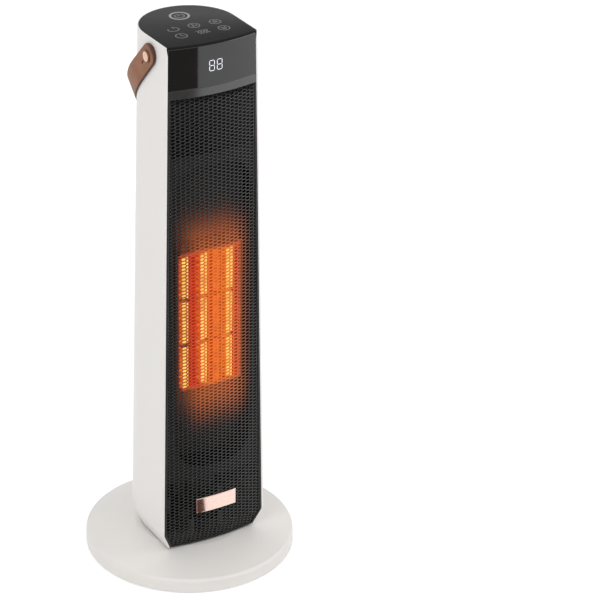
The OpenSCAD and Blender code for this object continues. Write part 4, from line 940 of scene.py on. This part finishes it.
def strap():
    """The leather band: rounded ends on the studs, a slit beyond each, a bend behind the casing."""
    line = strap_line()
    n = len(line)
    origin = Vector((0, STUD_Y, STUD_Z))
    section = []
    for cx, cz, a0 in ((1, 1, 0), (-1, 1, 90), (-1, -1, 180), (1, -1, 270)):
        section += [(cx, cz, ox, oz) for ox, oz in arc(0, 0, 1, 1, a0, a0 + 90, 4)]
    b = Builder()
    rings = []
    for i, (x, u) in enumerate(line):
        d = Vector(line[min(i + 1, n - 1)]) - Vector(line[max(i - 1, 0)])
        if abs(x) == STRAP_X:
            d = Vector((0, 1 if x > 0 else -1))
        d.normalize()
        past = max(0.0, -u - STRAP_PAST)
        half = math.sqrt(max(0.02, strap_half(u) ** 2 - past ** 2))
        r = min(STRAP_EDGE, half * 0.6)
        out = Vector((d.y, 0, 0)) - STRAP_RUN * d.x
        centre = origin + Vector((x, 0, 0)) + STRAP_RUN * u
        ring = []
        for cx, cz, ox, oz in section:
            across = cx * (half - r) + ox * r
            through = cz * (STRAP_T / 2 - r) + oz * r
            ring.append(tuple(clear_of_casing(centre + STRAP_UP * across + out * through)))
        rings.append(b.add(ring))
    b.ring_solid(rings)
    obj = piece("leather_strap", b, "strap", LEATHER, ["strap_handle"], smooth=60)
    slits = Builder()
    keyhole = arc(SLIT_END, 0, SLIT_R, SLIT_R, -165, 165, 20)
    outline = [(0.0, keyhole[0][1])] + keyhole + [(0.0, keyhole[-1][1])]
    for side in (-1, 1):
        places = [origin + STRAP_RUN * u + STRAP_UP * v for u, v in outline]
        slits.ring_solid([slits.add([(side * (STRAP_X + d), p.y, p.z) for p in places]) for d in (-5, 5)])
    cut(obj, slits)
    shade(obj, 60)
    mesh = obj.data
    layer = mesh.uv_layers.new(name="strap")
    for loop in mesh.loops:
        rel = mesh.vertices[loop.vertex_index].co / MM - origin
        u, v = rel.dot(STRAP_RUN), rel.dot(STRAP_UP)
        inward = strap_half(u) - math.hypot(min(0.0, u + STRAP_PAST), v)
        layer.data[loop.index].uv = (u / STRAP_REACH, inward / (STRAP_W / 2))


# Outline of a stud, from the middle of its head to its foot: radius, and distance from the casing
STUD_OUTLINE = ((0.01, 5.88), (3.0, 5.86), (5.0, 5.76), (5.45, 5.6), (6.7, 4.6), (6.97, 4.3), (6.97, 4.0),
                (6.8, 3.9), (4.4, 3.9), (3.0, 3.9), (2.9, 0.5), (4.5, 0.45), (4.5, 0.1), (0.01, 0.1))


def studs():
    """Button-headed studs through the strap's ends, with a darker copper on their rims as painted shade."""
    b = Builder()
    for side in (-1, 1):
        rings = []
        for r, h in STUD_OUTLINE:
            x = side * (half_w(STUD_Z) + h)
            rings.append(b.add([(x, y, z) for y, z in circle(STUD_Y, STUD_Z, r, 48)]))
        b.ring_solid(rings)
    obj = piece("copper_studs", b, "tower", COPPER_STUD, ["strap_studs"], smooth=25)
    # Faces that don't face straight out take the darker copper: painted shade
    obj.data.materials.append(STUD_SIDE_PAINTED_SHADE)
    for face in obj.data.polygons:
        face.material_index = int(abs(face.normal.x) < 0.9)


LEATHER = leather_material()
strap()
studs()

# Materials of the CAD nodes that stay

# Where the heater's outer column ends, and the depth behind its front over which the painted glow darkens
# into painted shade, in millimetres
OUTER_COLUMN_END = -20.0
PAINTED_SHADE_DEPTH = 4.0


def painted_glow_material(name, stops, front, side, strength, scale, inner=None):
    """Metal or ceramic with a painted glow, as emission: its colour runs across the pack, and its front
    fades into the depth as painted shade, with a painted shade colour on its sides.

    Right of the outer column the painted shade of the depth has the inner colours, where these are given."""
    mat, nt, bsdf = base_material(name)
    tex = nt.nodes.new("ShaderNodeTexCoord")
    place, facing = (axes(nt, tex.outputs[key]) for key in ("Object", "Normal"))
    low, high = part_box("heater_frame")
    colour = ramp(nt, spread(nt, place["X"], low.x, high.x), stops)
    grain = noise(nt, tex.outputs["Object"], scale)
    mottle = ramp(nt, grain, [(0.3, (0.55, 0.5, 0.45)), (0.65, (1.0, 1.0, 1.0))])
    # Painted shade: the glow darkens with depth behind the heater's front
    behind = spread(nt, place["Y"], low.y, low.y + PAINTED_SHADE_DEPTH * MM)
    depth = ramp(nt, behind, front)
    if inner:
        right = math_node(nt, "GREATER_THAN", place["X"], OUTER_COLUMN_END * MM)
        depth = mix_colour(nt, "MIX", depth, ramp(nt, behind, inner), right)
    # Painted shade: faces that turn sideways take the side colour
    painted_flank_shade = math_node(nt, "GREATER_THAN", math_node(nt, "ABSOLUTE", facing["X"]), 0.5)
    depth = mix_colour(nt, "MIX", depth, side, painted_flank_shade)
    lit = mix_colour(nt, "MULTIPLY", mix_colour(nt, "MULTIPLY", colour, mottle), depth)
    nt.links.new(lit, bsdf.inputs["Emission Color"])
    bsdf.inputs["Base Color"].default_value = (0.05, 0.03, 0.02, 1.0)
    bsdf.inputs["Emission Strength"].default_value = strength
    bsdf.inputs["Roughness"].default_value = 0.7
    return mat


YELLOW, ORANGE = (1.0, 0.62, 0.13), (0.72, 0.12, 0.0)
RED, DEEP_RED = (0.64, 0.06, 0.006), (0.56, 0.03, 0.0)
CERAMIC_PAINTED_GLOW = painted_glow_material(
    "hot_ceramic", [(0.0, YELLOW), (0.52, YELLOW), (0.55, ORANGE), (0.72, ORANGE), (0.75, YELLOW)],
    [(0.3, (1, 1, 1)), (0.4, (0.2, 0.08, 0.05))], (0.7, 0.24, 0.04), 1.25, 90.0,
    inner=[(0.3, (1, 1, 1)), (0.4, (0.6, 0.35, 0.2))])
FINS_PAINTED_GLOW = painted_glow_material(
    "fins_painted_glow", [(0.0, RED), (0.165, RED), (0.17, YELLOW), (0.19, YELLOW), (0.20, DEEP_RED),
                 (0.32, DEEP_RED), (0.38, ORANGE), (0.84, ORANGE), (0.88, RED)],
    [(0.0, (1, 1, 1)), (1.0, (0.75, 0.75, 0.75))], (0.9, 0.9, 0.9), 1.0, 60.0)
STEEL_PAINTED_GLOW = painted_glow_material("steel_painted_glow", [(0.0, (0.16, 0.030, 0.004)), (1.0, (0.20, 0.040, 0.006))],
                         [(0.0, (1, 1, 1)), (1.0, (0.9, 0.9, 0.9))], (0.9, 0.9, 0.9), 1.0, 120.0)
FRAME_PAINTED_GLOW = painted_glow_material(
    "frame_painted_glow", [(0.0, (0.05, 0.007, 0.002)), (0.07, (0.05, 0.007, 0.002)), (0.12, (0.42, 0.05, 0.006)),
                  (0.5, (0.55, 0.10, 0.01))],
    [(0.0, (1, 1, 1)), (1.0, (0.3, 0.3, 0.3))], (0.4, 0.4, 0.4), 1.0, 40.0)

NODE_MATERIALS = {
    "base_cover": BASE_WHITE, "base_plate": DARK, "base_weight": STEEL, "base_feet": RUBBER,
    "base_screws": SCREW, "cord_gland": RUBBER, "pivot_post": DARK, "glide_ring": NYLON, "swing_gear": DARK,
    "post_clip": DARK_STEEL, "tower_foot": INNER_GREY, "top_frame": INNER_GREY, "touch_board": BOARD,
    "led_display": DARK, "outlet_duct": duct_material(), "heater_frame": FRAME_PAINTED_GLOW,
    "ptc_columns": CERAMIC_PAINTED_GLOW, "heater_fins": FINS_PAINTED_GLOW, "heater_terminals": STEEL_PAINTED_GLOW,
    "thermal_cutout": STEEL_PAINTED_GLOW, "fan_housing": INNER_GREY, "fan_motor": DARK_STEEL, "fan_bearing": NYLON,
    "fan_wheel": DARK, "fan_shaft": SCREW, "fan_axle": SCREW, "power_board": DARK_BOARD,
    "tilt_switch": DARK, "temperature_sensor": DARK, "swing_motor": DARK_STEEL, "swing_pinion": DARK,
    "intake_grille": WHITE, "intake_filter": FILTER, "switch_body": MATTE, "power_rocker": DARK,
    "casing_screws": SCREW,
}
for name, material in NODE_MATERIALS.items():
    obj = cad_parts[name]
    if not obj.data.materials:
        obj.data.materials.append(material)
    for k in range(len(obj.data.materials)):
        obj.data.materials[k] = material
    shade(obj)

# Floor, light and camera

scene = bpy.context.scene
scene.view_settings.view_transform = "Standard"
FLOOR_SIZE, FLOOR_GLOW = 6.0, 0.38
WORLD_LEVEL = 0.68
# The card of painted dark reflection lies just above the floor: X and Y of its corners
CARD_Z = 0.002
CARD = ((-0.5, -0.125), (-4.5, -3.0), (0.862, -3.0), (0.0188, -0.125))
# The camera: degrees round from the front and down, height and distance of the point that it looks at
YAW, PITCH = -28.8, 27.53
AIM_Z, AIM_DISTANCE = 0.30346, 2.86919
LENS, SHIFT = 158.19, 0.18425


def background_ray(nt):
    """1 for rays that see the background: from the camera, from gloss and through glass."""
    light = nt.nodes.new("ShaderNodeLightPath")
    seen = math_node(nt, "MAXIMUM", light.outputs["Is Camera Ray"], light.outputs["Is Glossy Ray"])
    return math_node(nt, "MAXIMUM", seen, light.outputs["Is Transmission Ray"])


def floor_material():
    mat, nt, bsdf = base_material("studio_floor")
    tint = ramp(nt, noise(nt, coords(nt), 3.0), [(0.3, (0.89, 0.89, 0.89)), (0.7, (0.9, 0.9, 0.9))])
    nt.links.new(tint, bsdf.inputs["Base Color"])
    bsdf.inputs["Roughness"].default_value = 0.9
    bsdf.inputs["Specular IOR Level"].default_value = 0.0
    bsdf.inputs["Emission Color"].default_value = (1.0, 1.0, 1.0, 1.0)
    glow = math_node(nt, "MULTIPLY", background_ray(nt), FLOOR_GLOW)
    nt.links.new(glow, bsdf.inputs["Emission Strength"])
    return mat


def card_material():
    """Dim brown that only glossy surfaces see, a little uneven: a painted dark reflection."""
    mat, nt, bsdf = base_material("painted_reflection_card")
    browns = [(0.3, (0.080, 0.042, 0.034)), (0.7, (0.090, 0.047, 0.038))]
    tint = ramp(nt, noise(nt, coords(nt), 2.0), browns)
    nt.links.new(tint, bsdf.inputs["Emission Color"])
    bsdf.inputs["Base Color"].default_value = (0.01, 0.01, 0.01, 1.0)
    bsdf.inputs["Specular IOR Level"].default_value = 0.0
    bsdf.inputs["Emission Strength"].default_value = 1.0
    return mat


def stage_sheet(name, corners, material):
    mesh = bpy.data.meshes.new(name)
    mesh.from_pydata(corners, [], [(0, 1, 2, 3)])
    mesh.materials.append(material)
    obj = placed(name, mesh)
    return obj


def stage():
    """A wide floor, and a card lying on it that only glossy surfaces see, for a painted dark reflection in
    them.
    """
    square = ((-1, -1), (1, -1), (1, 1), (-1, 1))
    stage_sheet("studio_floor", [(FLOOR_SIZE * x, FLOOR_SIZE * y, 0) for x, y in square], floor_material())
    card = stage_sheet("painted_reflection_card", [(x, y, CARD_Z) for x, y in CARD], card_material())
    card.visible_camera = False
    card.visible_shadow = False
    card.visible_diffuse = False


def world_light():
    world = bpy.data.worlds.new("studio")
    scene.world = world
    world.use_nodes = True
    nt = world.node_tree
    back = nt.nodes["Background"]
    back.inputs["Color"].default_value = (1.0, 1.0, 1.0, 1.0)
    nt.links.new(spread(nt, background_ray(nt), 0.0, 1.0, WORLD_LEVEL, 1.0), back.inputs["Strength"])


def area_light(name, place, size, watts):
    """A soft box that looks at the middle of the tower."""
    data = bpy.data.lights.new(name, "AREA")
    data.shape = "RECTANGLE"
    data.size, data.size_y = size
    data.energy = watts
    obj = placed(name, data)
    obj.location = place
    obj.rotation_euler = (Vector((0, 0, 0.3)) - Vector(place)).to_track_quat("-Z", "Y").to_euler()


def photo_camera():
    """Camera of the photograph, to the left of the front and looking down."""
    yaw, pitch = math.radians(YAW), math.radians(PITCH)
    forward = Vector((-math.sin(yaw) * math.cos(pitch), math.cos(yaw) * math.cos(pitch), -math.sin(pitch)))
    data = bpy.data.cameras.new("camera")
    data.sensor_width = 36.0
    data.sensor_fit = "HORIZONTAL"
    data.lens = LENS
    data.shift_x = SHIFT
    data.clip_end = 30.0
    camera = placed("camera", data)
    camera.location = Vector((0, 0, AIM_Z)) - forward * AIM_DISTANCE
    camera.rotation_euler = forward.to_track_quat("-Z", "Y").to_euler()
    scene.camera = camera


stage()
world_light()
area_light("key", (-2.2, -1.6, 2.4), (1.6, 1.6), 32.0)
area_light("fill", (2.4, -1.8, 1.6), (1.6, 1.6), 23.0)
area_light("back", (0.4, 2.6, 2.4), (2.0, 1.2), 5.0)
photo_camera()
